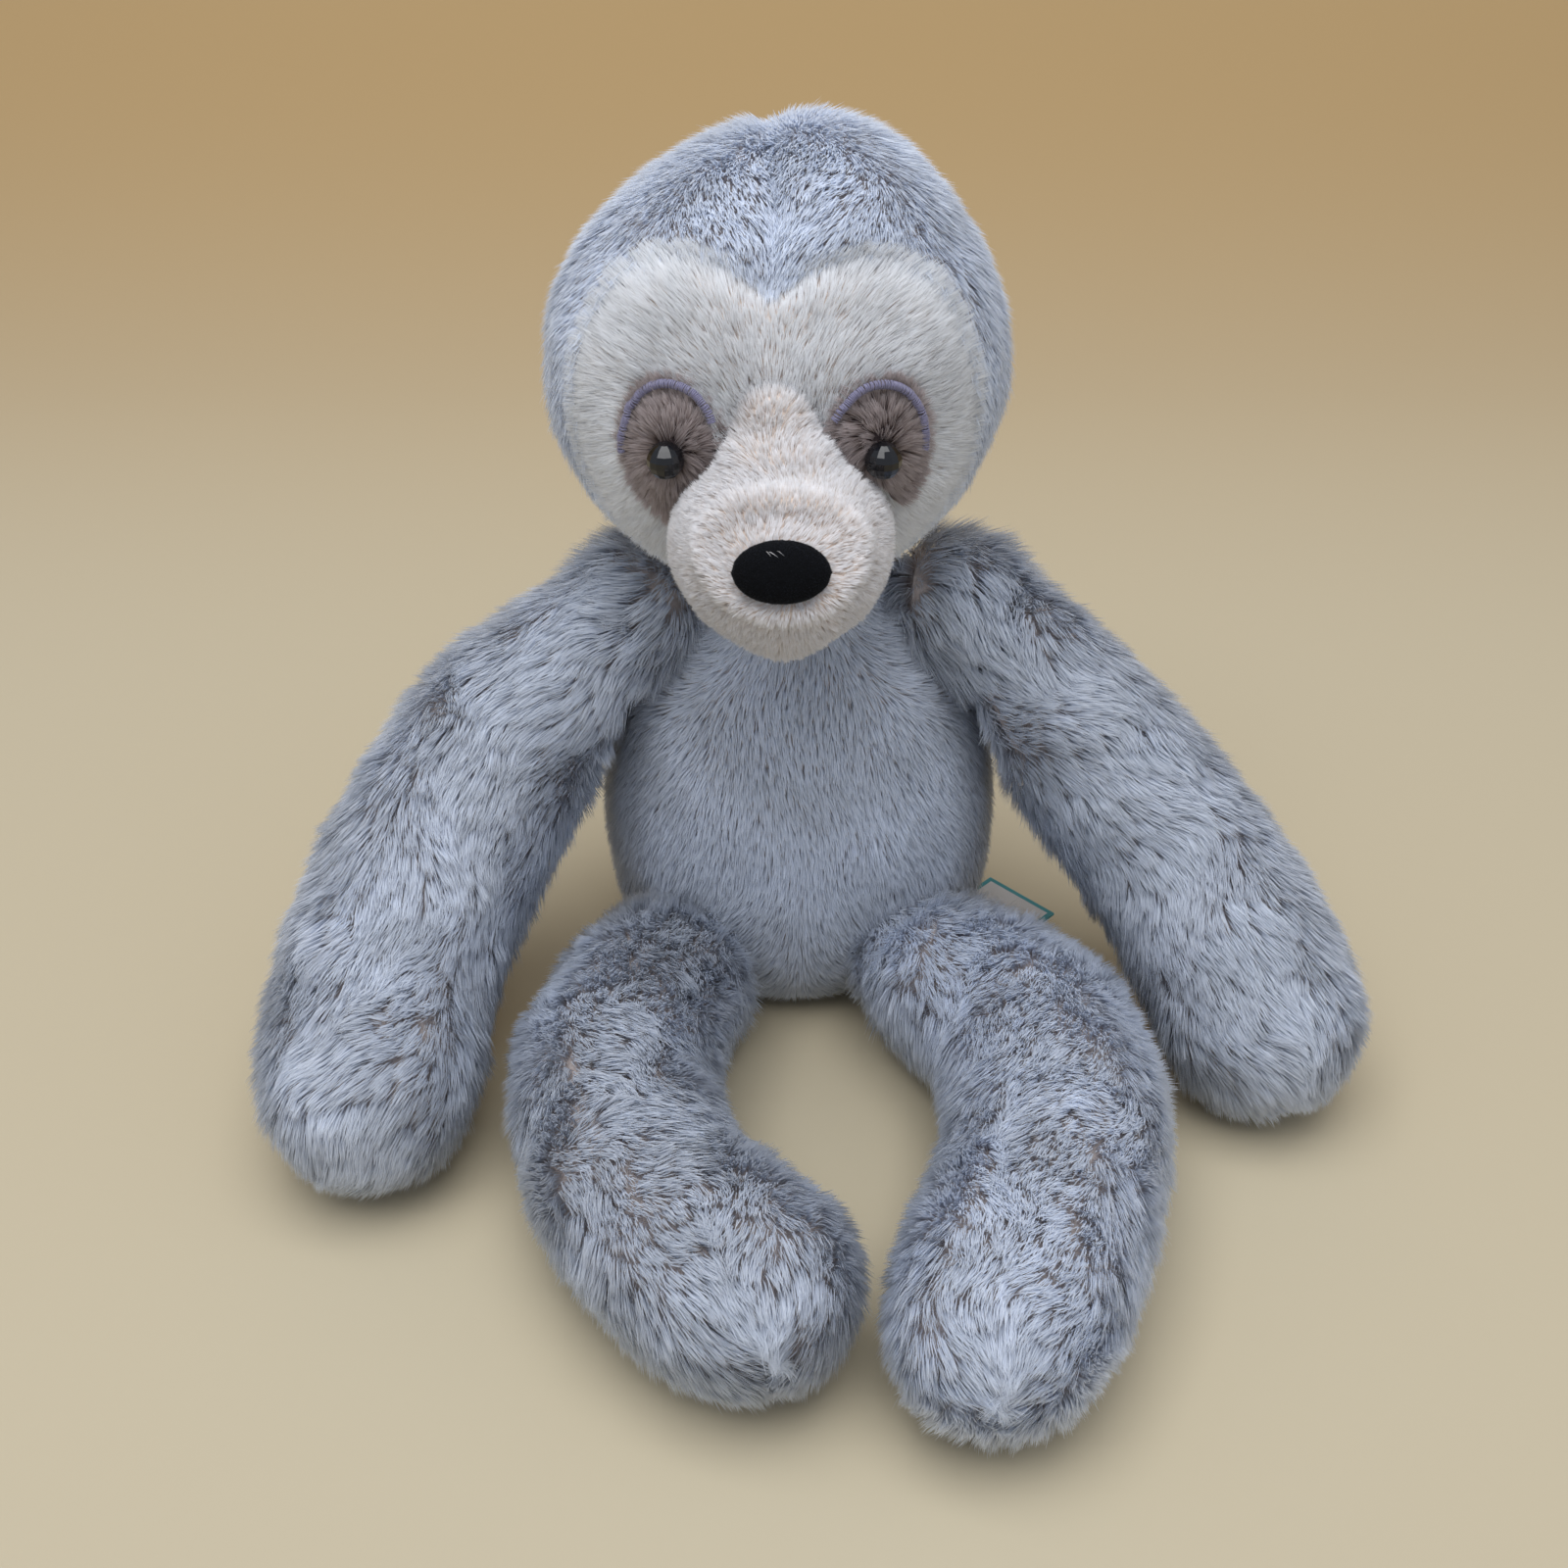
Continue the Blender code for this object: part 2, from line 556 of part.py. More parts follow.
shoulder = Vector((TORSO_WIDTH / 2 - SHOULDER_INSET, -SHOULDER_FORWARD,
                   TORSO_HEIGHT - SHOULDER_DROP))
hip = Vector((HIP_WIDTH / 2, HIP_BACK_SET - TORSO_DEPTH / 2, HIP_HEIGHT))
mirror = Vector((-1, 1, 1))
limbs = [
    Limb("right_arm", shoulder * mirror, -RIGHT_ARM_SPREAD, RIGHT_ARM_FORWARD,
         ARM_THICKNESS, ARM_SOCKET_DIAMETER, ARM_SWING_STEPS, RIGHT_ARM_SHARES),
    Limb("left_arm", shoulder, LEFT_ARM_SPREAD, LEFT_ARM_FORWARD,
         ARM_THICKNESS, ARM_SOCKET_DIAMETER, ARM_SWING_STEPS, LEFT_ARM_SHARES),
    Limb("right_leg", hip * mirror, -RIGHT_LEG_SPREAD, RIGHT_LEG_FORWARD,
         LEG_THICKNESS, LEG_SOCKET_DIAMETER, LEG_LIFT_STEPS, RIGHT_LEG_SHARES),
    Limb("left_leg", hip, LEFT_LEG_SPREAD, LEFT_LEG_FORWARD,
         LEG_THICKNESS, LEG_SOCKET_DIAMETER, LEG_LIFT_STEPS, LEFT_LEG_SHARES),
]
for limb in limbs:
    fur = fabric(limb.name + "_fur", GREY_FUR)
    limb_room = limb_form(limb.name + "_room", limb, COVER_THICKNESS)
    socket = ball(limb.name + "_socket", limb.pivot, limb.socket / 2)
    socket_room = ball(limb.name + "_socket_room", limb.pivot, limb.socket / 2 + SEAM_GAP)
    root = limb_form(limb.name + "_root", limb, 0, fur)
    boolean(root, "DIFFERENCE", torso_clearance, head_clearance, neck_room, ground)
    boolean(root, "INTERSECT", socket)
    torso_sweep = torso_as_met(limb)
    sleeve = limb_form(limb.name + "_sleeve", limb, 0, fur)
    boolean(sleeve, "DIFFERENCE", torso_sweep, limb_room, socket_room, ground)
    filling = limb_form(limb.name + "_filling", limb, FILLING_INSET, fibre)
    boolean(filling, "DIFFERENCE", torso_sweep, socket_room)

# The label is a small woven square, turned cornerwise and sewn into the side seam

half_diagonal = LABEL_WIDTH / math.sqrt(2)
shape = bmesh.new()
bmesh.ops.create_cube(shape, size=1)
square = Matrix.Diagonal((LABEL_WIDTH, LABEL_WIDTH, LABEL_THICKNESS, 1))
quarter = Matrix.Rotation(math.radians(45), 4, "Z")
label_tip = TORSO_WIDTH / 2 + LABEL_PROUD
label_centre = Vector((label_tip - half_diagonal, 0, LABEL_HEIGHT))
bmesh.ops.transform(shape, matrix=Matrix.Translation(label_centre) @ quarter @ square,
                    verts=shape.verts)
label_mesh = bpy.data.meshes.new("sewn_label")
shape.to_mesh(label_mesh)
shape.free()
label = put("sewn_label", label_mesh, fabric("label_satin", LABEL_CLOTH, 0.6))
boolean(label, "DIFFERENCE", torso_clearance)
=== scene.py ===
"""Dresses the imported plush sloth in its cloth, fur, thread, velour and eyes.

Metres, +Z up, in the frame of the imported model. The toy faces -Y.
"""

import json
import math

import bmesh
import bpy
import numpy as np
from mathutils import Matrix, Vector, noise
from mathutils.bvhtree import BVHTree
from mathutils.kdtree import KDTree


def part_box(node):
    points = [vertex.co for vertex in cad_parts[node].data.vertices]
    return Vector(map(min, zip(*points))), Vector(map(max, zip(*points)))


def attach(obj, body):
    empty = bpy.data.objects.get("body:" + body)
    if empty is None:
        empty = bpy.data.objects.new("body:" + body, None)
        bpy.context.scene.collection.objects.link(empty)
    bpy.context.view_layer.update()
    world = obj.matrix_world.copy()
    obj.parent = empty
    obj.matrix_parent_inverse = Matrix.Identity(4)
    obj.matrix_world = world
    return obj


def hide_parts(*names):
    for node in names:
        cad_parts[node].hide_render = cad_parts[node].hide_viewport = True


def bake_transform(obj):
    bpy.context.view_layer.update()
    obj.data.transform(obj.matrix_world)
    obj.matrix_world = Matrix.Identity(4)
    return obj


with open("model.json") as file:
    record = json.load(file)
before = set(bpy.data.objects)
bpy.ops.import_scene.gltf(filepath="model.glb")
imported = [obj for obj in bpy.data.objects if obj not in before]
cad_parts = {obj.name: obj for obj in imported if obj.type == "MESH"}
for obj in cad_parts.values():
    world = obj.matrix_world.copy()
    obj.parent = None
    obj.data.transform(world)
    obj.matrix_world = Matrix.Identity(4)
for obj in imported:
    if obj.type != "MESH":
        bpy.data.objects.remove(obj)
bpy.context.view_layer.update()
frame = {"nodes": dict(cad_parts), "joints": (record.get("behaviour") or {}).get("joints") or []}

# The camera looks down at the toy from the front, as someone at a table does.
# It stands almost half a metre away, with a short telephoto lens on a square frame.
CAMERA_PLACE = Vector((-0.004, -0.4218, 0.349))
CAMERA_DROP = math.radians(35)
CAMERA_LENS = 42.75
SENSOR_WIDTH = 36

camera_data = bpy.data.cameras.new("camera")
camera_data.lens = CAMERA_LENS
camera_data.sensor_width = SENSOR_WIDTH
camera = bpy.data.objects.new("camera", camera_data)
camera.location = CAMERA_PLACE
camera.rotation_euler = (math.radians(90) - CAMERA_DROP, 0, 0)
bpy.context.scene.collection.objects.link(camera)
bpy.context.scene.camera = camera
bpy.context.scene.view_settings.view_transform = "Standard"

# The stage is a sheet of pale card that lies flat and curves up behind the toy, a little
# darker and tanner towards the back: partly the card's own tan, partly painted shade, as the back
# is lit less.
# A broad soft lamp hangs high over the toy, a little in front of it, and an even pale light
# comes from all round.
STAGE_NEAR_COLOUR = 0xBBB097
STAGE_FAR_TAN_AND_SHADE = 0xB09468
STAGE_NEAR = 0.12
STAGE_FAR = 0.75
STAGE_WIDTH = 6.0
STAGE_FRONT = -2.0
STAGE_BACK = 1.1
STAGE_HEIGHT = 2.4
STAGE_CURVE = 0.7
STAGE_STEPS = 24
LAMP_PLACE = Vector((-0.1, -0.4, 1.5))
LAMP_AIM = Vector((0, -0.05, 0.1))
LAMP_WIDTH = 1.3
LAMP_POWER = 20
SKY_COLOUR = 0xE9F0FC
SKY_STRENGTH = 0.68


def colour(hex_value):
    """Turn an sRGB hex colour into the linear colour that a shader takes."""
    parts = [(hex_value >> shift & 255) / 255 for shift in (16, 8, 0)]
    return (*[c / 12.92 if c <= 0.04045 else ((c + 0.055) / 1.055) ** 2.4 for c in parts], 1)


def add(material, kind, inputs, **settings):
    """Add a shader node with its settings, and set or link its inputs."""
    node = material.node_tree.nodes.new("ShaderNode" + kind)
    for name, value in settings.items():
        setattr(node, name, value)
    for name, value in inputs.items():
        if isinstance(value, bpy.types.NodeSocket):
            material.node_tree.links.new(value, node.inputs[name])
        else:
            node.inputs[name].default_value = value
    return node


def finish_named(name, **uniform):
    """Start a material and set the numbers that are the same all over its surface."""
    material = bpy.data.materials.new(name)
    material.use_nodes = True
    shader = material.node_tree.nodes["Principled BSDF"]
    for socket, value in uniform.items():
        shader.inputs[socket.replace("_", " ")].default_value = value
    return material, shader


def link(material, output, socket):
    material.node_tree.links.new(output, socket)


def piece_of(shape, name, material):
    """Make a bmesh into a smooth piece of the scene."""
    mesh = bpy.data.meshes.new(name)
    shape.to_mesh(mesh)
    shape.free()
    mesh.materials.append(material)
    mesh.shade_smooth()
    piece = bpy.data.objects.new(name, mesh)
    bpy.context.scene.collection.objects.link(piece)
    return piece


card, card_shader = finish_named("card_matt_paper", Roughness=0.9)
card_place = add(card, "TexCoord", {})
card_axes = add(card, "SeparateXYZ", {"Vector": card_place.outputs["Object"]})
# The card turns tanner and darker towards the back: its own tan, and painted shade.
far_share = add(card, "MapRange", {"Value": card_axes.outputs["Y"], "From Min": STAGE_NEAR,
                                   "From Max": STAGE_FAR}, interpolation_type="SMOOTHSTEP")
card_tone = add(card, "ValToRGB", {"Fac": far_share.outputs["Result"]})
card_tone.color_ramp.elements[0].color = colour(STAGE_NEAR_COLOUR)
card_tone.color_ramp.elements[1].color = colour(STAGE_FAR_TAN_AND_SHADE)
link(card, card_tone.outputs["Color"], card_shader.inputs["Base Color"])
sweep = bmesh.new()
front_edge = [sweep.verts.new((side * STAGE_WIDTH / 2, STAGE_FRONT, 0)) for side in (-1, 1)]
edge = sweep.edges.new(front_edge)
floor = bmesh.ops.extrude_edge_only(sweep, edges=[edge])
corner = [v for v in floor["geom"] if isinstance(v, bmesh.types.BMVert)]
bmesh.ops.translate(sweep, verts=corner, vec=(0, STAGE_BACK - STAGE_CURVE - STAGE_FRONT, 0))
last = [e for e in floor["geom"] if isinstance(e, bmesh.types.BMEdge)
        and all(v in corner for v in e.verts)]
bend = bmesh.ops.spin(sweep, geom=last, axis=(1, 0, 0), angle=math.radians(90),
                      steps=STAGE_STEPS, cent=(0, STAGE_BACK - STAGE_CURVE, STAGE_CURVE))
top = [e for e in bend["geom_last"] if isinstance(e, bmesh.types.BMEdge)]
wall = bmesh.ops.extrude_edge_only(sweep, edges=top)
bmesh.ops.translate(sweep, verts=[v for v in wall["geom"] if isinstance(v, bmesh.types.BMVert)],
                    vec=(0, 0, STAGE_HEIGHT - STAGE_CURVE))
bmesh.ops.recalc_face_normals(sweep, faces=sweep.faces)
piece_of(sweep, "card_sweep", card)

lamp_data = bpy.data.lights.new("soft_lamp", "AREA")
lamp_data.size = LAMP_WIDTH
lamp_data.energy = LAMP_POWER
lamp = bpy.data.objects.new("soft_lamp", lamp_data)
lamp.location = LAMP_PLACE
lamp.rotation_euler = (LAMP_AIM - LAMP_PLACE).to_track_quat("-Z", "Y").to_euler()
bpy.context.scene.collection.objects.link(lamp)
sky = bpy.data.worlds.new("even_light")
sky.use_nodes = True
sky.node_tree.nodes["Background"].inputs["Color"].default_value = colour(SKY_COLOUR)
sky.node_tree.nodes["Background"].inputs["Strength"].default_value = SKY_STRENGTH
bpy.context.scene.world = sky

# The torso is a bag of knitted-back plush, stuffed with fibre until it is round.
# Its pile is cut to one length, springs from the backing and is brushed down the belly.
GREY_ROOT = 0xC8B9B3
GREY_MIDDLE = 0xD3DAE6
GREY_TIP = 0xF2F7FF
GREY_BACKING = 0xC6BAB5
PILE_DEPTH = 0.0046
TORSO_PILE = 0.0064
PILE_OVERLAP = 0.002  # how deep a pile may start inside another skin
FIBRE_TRANSLUCENCE = 0.45
MIDDLE_STOP = 0.45
TUFT_TONES = (0.8, 1.12)
KNIT_CELLS = 900  # a metre, so about 1.1 mm each: a little coarser than the real knit
KNIT_TONES = (0.7, 1.2)
KNIT_RELIEF = 0.0004
WRAP_SIZE = 0.0022
WELD_DISTANCE = 0.00002
BALL_SEGMENTS = 24
BALL_RINGS = 12
ROUNDING_PASSES = 12
SETTLING_PASSES = 4
LUMP_SIZE = 0.028
LUMP_DEPTH = 0.0022
# A real hair is finer than the picture can show, so each drawn one stands for a few.
HAIR_WIDTH = 0.00034
HAIRS_PER_AREA = 4.2e6
HAIR_SINK = 0.0008
FLOOR_CLEARANCE = 0.0002
# How a hair bends, and how far hairs differ in their turn, rise and roll, in radians.
HAIR_BEND = 0.25
HAIR_TURN = 0.16
HAIR_RISE = 0.12
HAIR_ROLL = 0.7
# How the brushing, the rise and the tone swell over the cloth: their sizes and shares.
SWIRL_SIZES = (0.022, 0.009)
SWIRL_SHARES = (1.3, 0.6)
RISE_SIZE = 0.014
RISE_SHARE = 0.45
TONE_SIZE = 0.016
TONE_SHARE = 0.35
# The least length, tuft pull and map height, with how far hairs and tufts differ from it.
HAIR_LENGTHS = (0.82, 0.3)
TUFT_PULL = (0.6, 0.6)
MIDDLE_PULL = 0.45
TUFT_ROUNDNESS = 0.6
FACING_SPREAD = 0.1
TUFT_TONE = 0.1
HAIR_TONE = 0.05
MAP_EDGE = 0.02
SEWN_JOINTS = ["right_shoulder_swing", "left_shoulder_swing", "right_hip_lift", "left_hip_lift"]
OUTWARD_BRUSH = 0.25
SEAM_BRUSH = 2.5
SEAM_BRUSH_REACH = 0.027


def tinted(material, shader, tone, grain, tones):
    """Colour a finish by a tone, from darker to paler along a grain of 0 to 1."""
    shade = add(material, "MapRange", {"Value": grain, "To Min": tones[0], "To Max": tones[1]})
    toned = add(material, "VectorMath", {0: tone, 1: shade.outputs["Result"]},
                operation="MULTIPLY").outputs["Vector"]
    link(material, toned, shader.inputs["Base Color"])
    return toned


def grained(material, shader, hex_value, cells, tones):
    """Mottle a finish by a noise of so many cells a metre, and return the noise."""
    place = add(material, "TexCoord", {})
    grain = add(material, "TexNoise", {"Vector": place.outputs["Object"],
                                       "Scale": cells}).outputs["Fac"]
    tinted(material, shader, colour(hex_value)[:3], grain, tones)
    return grain


def pile_material(name, root, middle, tip, roughness=0.85):
    """Make the finish of a pile, from its root to its tip, with each tuft in its own tone.

    Its map holds the tuft's tone across and the height in the pile upwards.
    """
    material, shader = finish_named(name, Roughness=roughness, Sheen_Weight=0.25,
                                    Sheen_Roughness=0.5, Specular_IOR_Level=0.15)
    pile_map = add(material, "UVMap", {}, uv_map="OFBake")
    place = add(material, "SeparateXYZ", {"Vector": pile_map.outputs["UV"]})
    height = add(material, "ValToRGB", {"Fac": place.outputs["Y"]})
    stops = height.color_ramp.elements
    stops[0].color = colour(root)
    stops[1].color = colour(tip)
    stops.new(MIDDLE_STOP).color = colour(middle)
    toned = tinted(material, shader, height.outputs["Color"], place.outputs["X"], TUFT_TONES)
    through = add(material, "BsdfTranslucent", {"Color": toned})
    fibre = add(material, "MixShader", {0: FIBRE_TRANSLUCENCE, 1: shader.outputs["BSDF"],
                                        2: through.outputs["BSDF"]})
    link(material, fibre.outputs["Shader"],
         material.node_tree.nodes["Material Output"].inputs["Surface"])
    return material


def backing_material(name, hex_value):
    """Make the finish of the knitted backing, seen only where the pile parts."""
    material, shader = finish_named(name, Roughness=0.95, Specular_IOR_Level=0.1)
    knit = grained(material, shader, hex_value, KNIT_CELLS, KNIT_TONES)
    bump = add(material, "Bump", {"Height": knit, "Distance": KNIT_RELIEF})
    link(material, bump.outputs["Normal"], shader.inputs["Normal"])
    return material


def stuffed_form(name, nodes, material, depth=PILE_DEPTH, wrap=WRAP_SIZE, lumps=LUMP_DEPTH,
                 balls=()):
    """Wrap the nodes' solids in one closed skin, drawn in by the depth of the pile.

    balls lists the middles and radii of what swells the form between its solids.
    """
    shape = bmesh.new()
    for node in nodes:
        shape.from_mesh(frame["nodes"][node].data)
    bmesh.ops.remove_doubles(shape, verts=shape.verts, dist=WELD_DISTANCE)
    for middle, radii in balls:
        place = Matrix.Translation(middle) @ Matrix.Diagonal((*radii, 1))
        bmesh.ops.create_uvsphere(shape, u_segments=BALL_SEGMENTS, v_segments=BALL_RINGS,
                                  radius=1, matrix=place)
    form = piece_of(shape, name, material)
    wrapping = form.modifiers.new("wrap", "REMESH")
    wrapping.mode = "VOXEL"
    wrapping.voxel_size = wrap
    rounding = form.modifiers.new("round", "SMOOTH")
    rounding.iterations = ROUNDING_PASSES
    inset = form.modifiers.new("pile_depth", "DISPLACE")
    inset.strength = -depth
    inset.mid_level = 0
    stuffing = bpy.data.textures.new(name + "_lumps", "CLOUDS")
    stuffing.noise_scale = LUMP_SIZE
    swell = form.modifiers.new("lumps", "DISPLACE")
    swell.texture = stuffing
    swell.strength = lumps
    settle = form.modifiers.new("settle", "SMOOTH")
    settle.iterations = SETTLING_PASSES
    graph = bpy.context.evaluated_depsgraph_get()
    wrapped = bpy.data.meshes.new_from_object(form.evaluated_get(graph))
    form.modifiers.clear()
    form.data = wrapped
    keep_outer_skin(wrapped)
    wrapped.shade_smooth()
    return form


def keep_outer_skin(mesh):
    """Drop the small closed skins that wrapping leaves round the gaps inside."""
    shape = bmesh.new()
    shape.from_mesh(mesh)
    reached = {max(shape.verts, key=lambda v: v.co.x)}
    edge = list(reached)
    while edge:
        edge = [v for e in edge.pop().link_edges for v in e.verts if v not in reached] + edge
        reached.update(edge)
    inner = [v for v in shape.verts if v not in reached]
    bmesh.ops.delete(shape, geom=inner, context="VERTS")
    shape.to_mesh(mesh)
    shape.free()


def ripple(points, size, offset):
    """Read smooth noise at the points, with swells of about that size."""
    shift = Vector((offset, 0, 0))
    return np.array([noise.noise(Vector(p) / size + shift) for p in points])


def unit(vectors):
    return vectors / np.maximum(np.linalg.norm(vectors, axis=1, keepdims=True), 1e-9)


def skin_arrays(skin):
    """Read a skin's points, normals and triangles as arrays."""
    mesh = skin.data
    mesh.calc_loop_triangles()
    points = np.empty(len(mesh.vertices) * 3)
    mesh.vertices.foreach_get("co", points)
    normals = np.empty(len(mesh.vertices) * 3)
    mesh.vertex_normals.foreach_get("vector", normals)
    corners = np.empty(len(mesh.loop_triangles) * 3, dtype=int)
    mesh.loop_triangles.foreach_get("vertices", corners)
    return points.reshape(-1, 3), normals.reshape(-1, 3), corners.reshape(-1, 3)


def grow_pile(name, skin, material, comb, length, lean=0.85, ruffle=0.5, tuft=16, draw=0.35,
              width=HAIR_WIDTH, hairs_per_area=HAIRS_PER_AREA, share=None, within=None,
              trim=None, brightness=0.5, seed=1):
    """Grow pile from a skin, as hairs that each are a slim bent leaf, drawn into tufts.

    comb gives the way the pile is brushed at each point, share how much grows there and
    trim what share of the length, and within says which hairs are inside an outline.
    lean is the angle off the skin, in radians, ruffle how far the pile is disturbed, draw
    how tight the tufts are, and brightness the tufts' middle tone, from 0 to 1; on the hood
    and the limbs it is set as painted light and shade.
    """
    points, normals, corners = skin_arrays(skin)
    rng = np.random.default_rng(seed)
    amount = np.ones(len(points)) if share is None else share(points)
    cut = np.ones(len(points)) if trim is None else trim(points)
    flow = comb(points)
    swirl = ruffle * (SWIRL_SHARES[0] * ripple(points, SWIRL_SIZES[0], seed)
                      + SWIRL_SHARES[1] * ripple(points, SWIRL_SIZES[1], seed + 7))
    rise = lean * (1 + RISE_SHARE * ruffle * ripple(points, RISE_SIZE, seed + 3))
    tone = brightness + TONE_SHARE * ripple(points, TONE_SIZE, seed + 5)

    a, b, c = (points[corners[:, i]] for i in range(3))
    areas = np.linalg.norm(np.cross(b - a, c - a), axis=1) / 2
    areas *= np.clip(amount[corners].mean(axis=1), 0, 1)
    count = int(areas.sum() * hairs_per_area)
    chosen = corners[rng.choice(len(areas), count, p=areas / areas.sum())]
    mix = rng.random((count, 2))
    outside = mix.sum(axis=1) > 1
    mix[outside] = 1 - mix[outside]
    mix = np.column_stack([1 - mix.sum(axis=1), mix])

    def on_hairs(values):
        parts = values[chosen]
        weights = mix if values.ndim == 1 else mix[:, :, None]
        return (parts * weights).sum(axis=1)

    root, normal = on_hairs(points), unit(on_hairs(normals))
    if within is not None:
        inside = within(root + normal * PILE_DEPTH)
        chosen, mix, root, normal = (values[inside] for values in (chosen, mix, root, normal))
        count = len(root)
    along = on_hairs(flow)
    along = unit(along - normal * (along * normal).sum(axis=1)[:, None])
    across = np.cross(normal, along)
    turn = (on_hairs(swirl) + rng.normal(0, HAIR_TURN, count))[:, None]
    along, across = (along * np.cos(turn) + across * np.sin(turn),
                     across * np.cos(turn) - along * np.sin(turn))
    rise = (on_hairs(rise) + rng.normal(0, HAIR_RISE, count))[:, None]
    shortest, spread = HAIR_LENGTHS
    reach = (length * on_hairs(cut) * (shortest + spread * rng.random(count)))[:, None] / 2
    root = root - normal * HAIR_SINK
    lower, upper = rise + HAIR_BEND, rise - HAIR_BEND
    middle = root + reach * (along * np.cos(lower) + normal * np.sin(lower))
    tip = middle + reach * (along * np.cos(upper) + normal * np.sin(upper))
    root_facing = normal * np.cos(lower) - along * np.sin(lower)

    leaders = rng.choice(count, max(1, count // tuft), replace=False)
    tree = KDTree(len(leaders))
    for i, leader in enumerate(leaders):
        tree.insert(root[leader], i)
    tree.balance()
    leader = leaders[[tree.find(p)[1] for p in root]]
    pull = (draw * (TUFT_PULL[0] + TUFT_PULL[1] * rng.random(count)))[:, None]
    offset = root - root[leader]
    tip += (tip[leader] - tip) * pull
    middle += (middle[leader] - middle) * pull * MIDDLE_PULL
    facing = unit(normal + offset * (TUFT_ROUNDNESS * draw / math.sqrt(tuft / hairs_per_area))
                  + rng.normal(0, FACING_SPREAD, (count, 3)))

    roll = rng.uniform(-HAIR_ROLL, HAIR_ROLL, (count, 1))
    side = (normal * np.sin(roll) - across * np.cos(roll)) * width / 2
    corners_of_hair = np.stack([root, middle - side, middle + side, tip], axis=1)
    corners_of_hair[:, :, 2] = np.maximum(corners_of_hair[:, :, 2], FLOOR_CLEARANCE)
    mesh = bpy.data.meshes.new(name)
    mesh.vertices.add(count * 4)
    mesh.vertices.foreach_set("co", corners_of_hair.ravel())
    mesh.loops.add(count * 6)
    blade = np.array([0, 2, 1, 1, 2, 3])
    mesh.loops.foreach_set("vertex_index", (np.arange(count)[:, None] * 4 + blade).ravel())
    mesh.polygons.add(count * 2)
    mesh.polygons.foreach_set("loop_start", np.arange(count * 2) * 3)
    mesh.update(calc_edges=True)
    tuft_tone = rng.normal(0, TUFT_TONE, count)
    shade = on_hairs(tone) + tuft_tone[leader] + rng.normal(0, HAIR_TONE, count)
    shade = np.clip(shade, MAP_EDGE, 1 - MAP_EDGE)
    height = np.array([MAP_EDGE, 0.5, 0.5, 1 - MAP_EDGE])[blade]
    pile_map = np.empty((count, 6, 2))
    pile_map[:, :, 0] = shade[:, None]
    pile_map[:, :, 1] = height
    mesh.uv_layers.new(name="OFBake").data.foreach_set("uv", pile_map.ravel())
    mesh.shade_smooth()
    middle_facing = unit(root_facing + facing)
    facings = np.stack([root_facing, middle_facing, middle_facing, facing], axis=1)
    mesh.normals_split_custom_set_from_vertices(facings.reshape(-1, 3))
    mesh.materials.append(material)
    pile = bpy.data.objects.new(name, mesh)
    bpy.context.scene.collection.objects.link(pile)
    return pile


def surface_of(piece):
    """Hold a piece's surface for finding the nearest point on it."""
    shape = bmesh.new()
    shape.from_mesh(piece.data)
    surface = BVHTree.FromBMesh(shape)
    shape.free()
    return surface


def clear_of(surface, depth):
    """Return a share function that stops the pile deeper than this inside another skin."""
    def share(points):
        kept = np.ones(len(points))
        for i, point in enumerate(points):
            near, normal, _, _ = surface.find_nearest(point)
            if (Vector(point) - near).dot(normal) < -depth:
                kept[i] = 0
        return kept
    return share


grey_pile = pile_material("grey_cut_pile_acrylic", GREY_ROOT, GREY_MIDDLE, GREY_TIP)
grey_backing = backing_material("grey_knitted_backing", GREY_BACKING)
torso = stuffed_form("torso_skin", ["torso_front_panel", "torso_back_panel", "torso_filling",
                                    "neck_gather"], grey_backing)
torso_surface = surface_of(torso)
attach(torso, "torso")
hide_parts("torso_front_panel", "torso_back_panel", "torso_filling")
torso_low, torso_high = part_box("torso_filling")
torso_middle = np.array((torso_low + torso_high) / 2)
pivots = {joint["name"]: np.array(joint["pos_m"]) for joint in frame["joints"]}


def down_the_body(points):
    """Brush the torso's pile down, a little outwards, and over the seams of the limbs."""
    outwards = points - torso_middle
    outwards[:, 2] = 0
    flow = unit(outwards) * OUTWARD_BRUSH + [0, 0, -1]
    for joint in SEWN_JOINTS:
        to_joint = pivots[joint] - points
        distance = np.linalg.norm(to_joint, axis=1, keepdims=True)
        near = np.exp(-(distance / SEAM_BRUSH_REACH) ** 4)
        flow = flow + SEAM_BRUSH * unit(to_joint) * near
    return flow


def on_the_front(points):
    return points[:, 1] < torso_middle[1]


def on_the_back(points):
    return ~on_the_front(points)


for side, within in (("front", on_the_front), ("back", on_the_back)):
    pile = grow_pile("torso_" + side + "_pile", torso, grey_pile, down_the_body, TORSO_PILE,
                     lean=0.75, ruffle=0.35, tuft=10, draw=0.3, within=within, seed=11)
    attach(pile, "torso")

# A pouch of plastic beans lies in the seat and makes the toy sit. It is sewn of plain
# woven cotton, and fills out unevenly over the beans.
POUCH_COLOUR = 0xD9D2C4
POUCH_DEPTH = 0.0006
POUCH_WRAP = 0.0012
POUCH_THREAD = 0.0006  # a little coarser than the real one, to show
POUCH_TONES = (0.8, 1)
POUCH_RELIEF = 0.0002

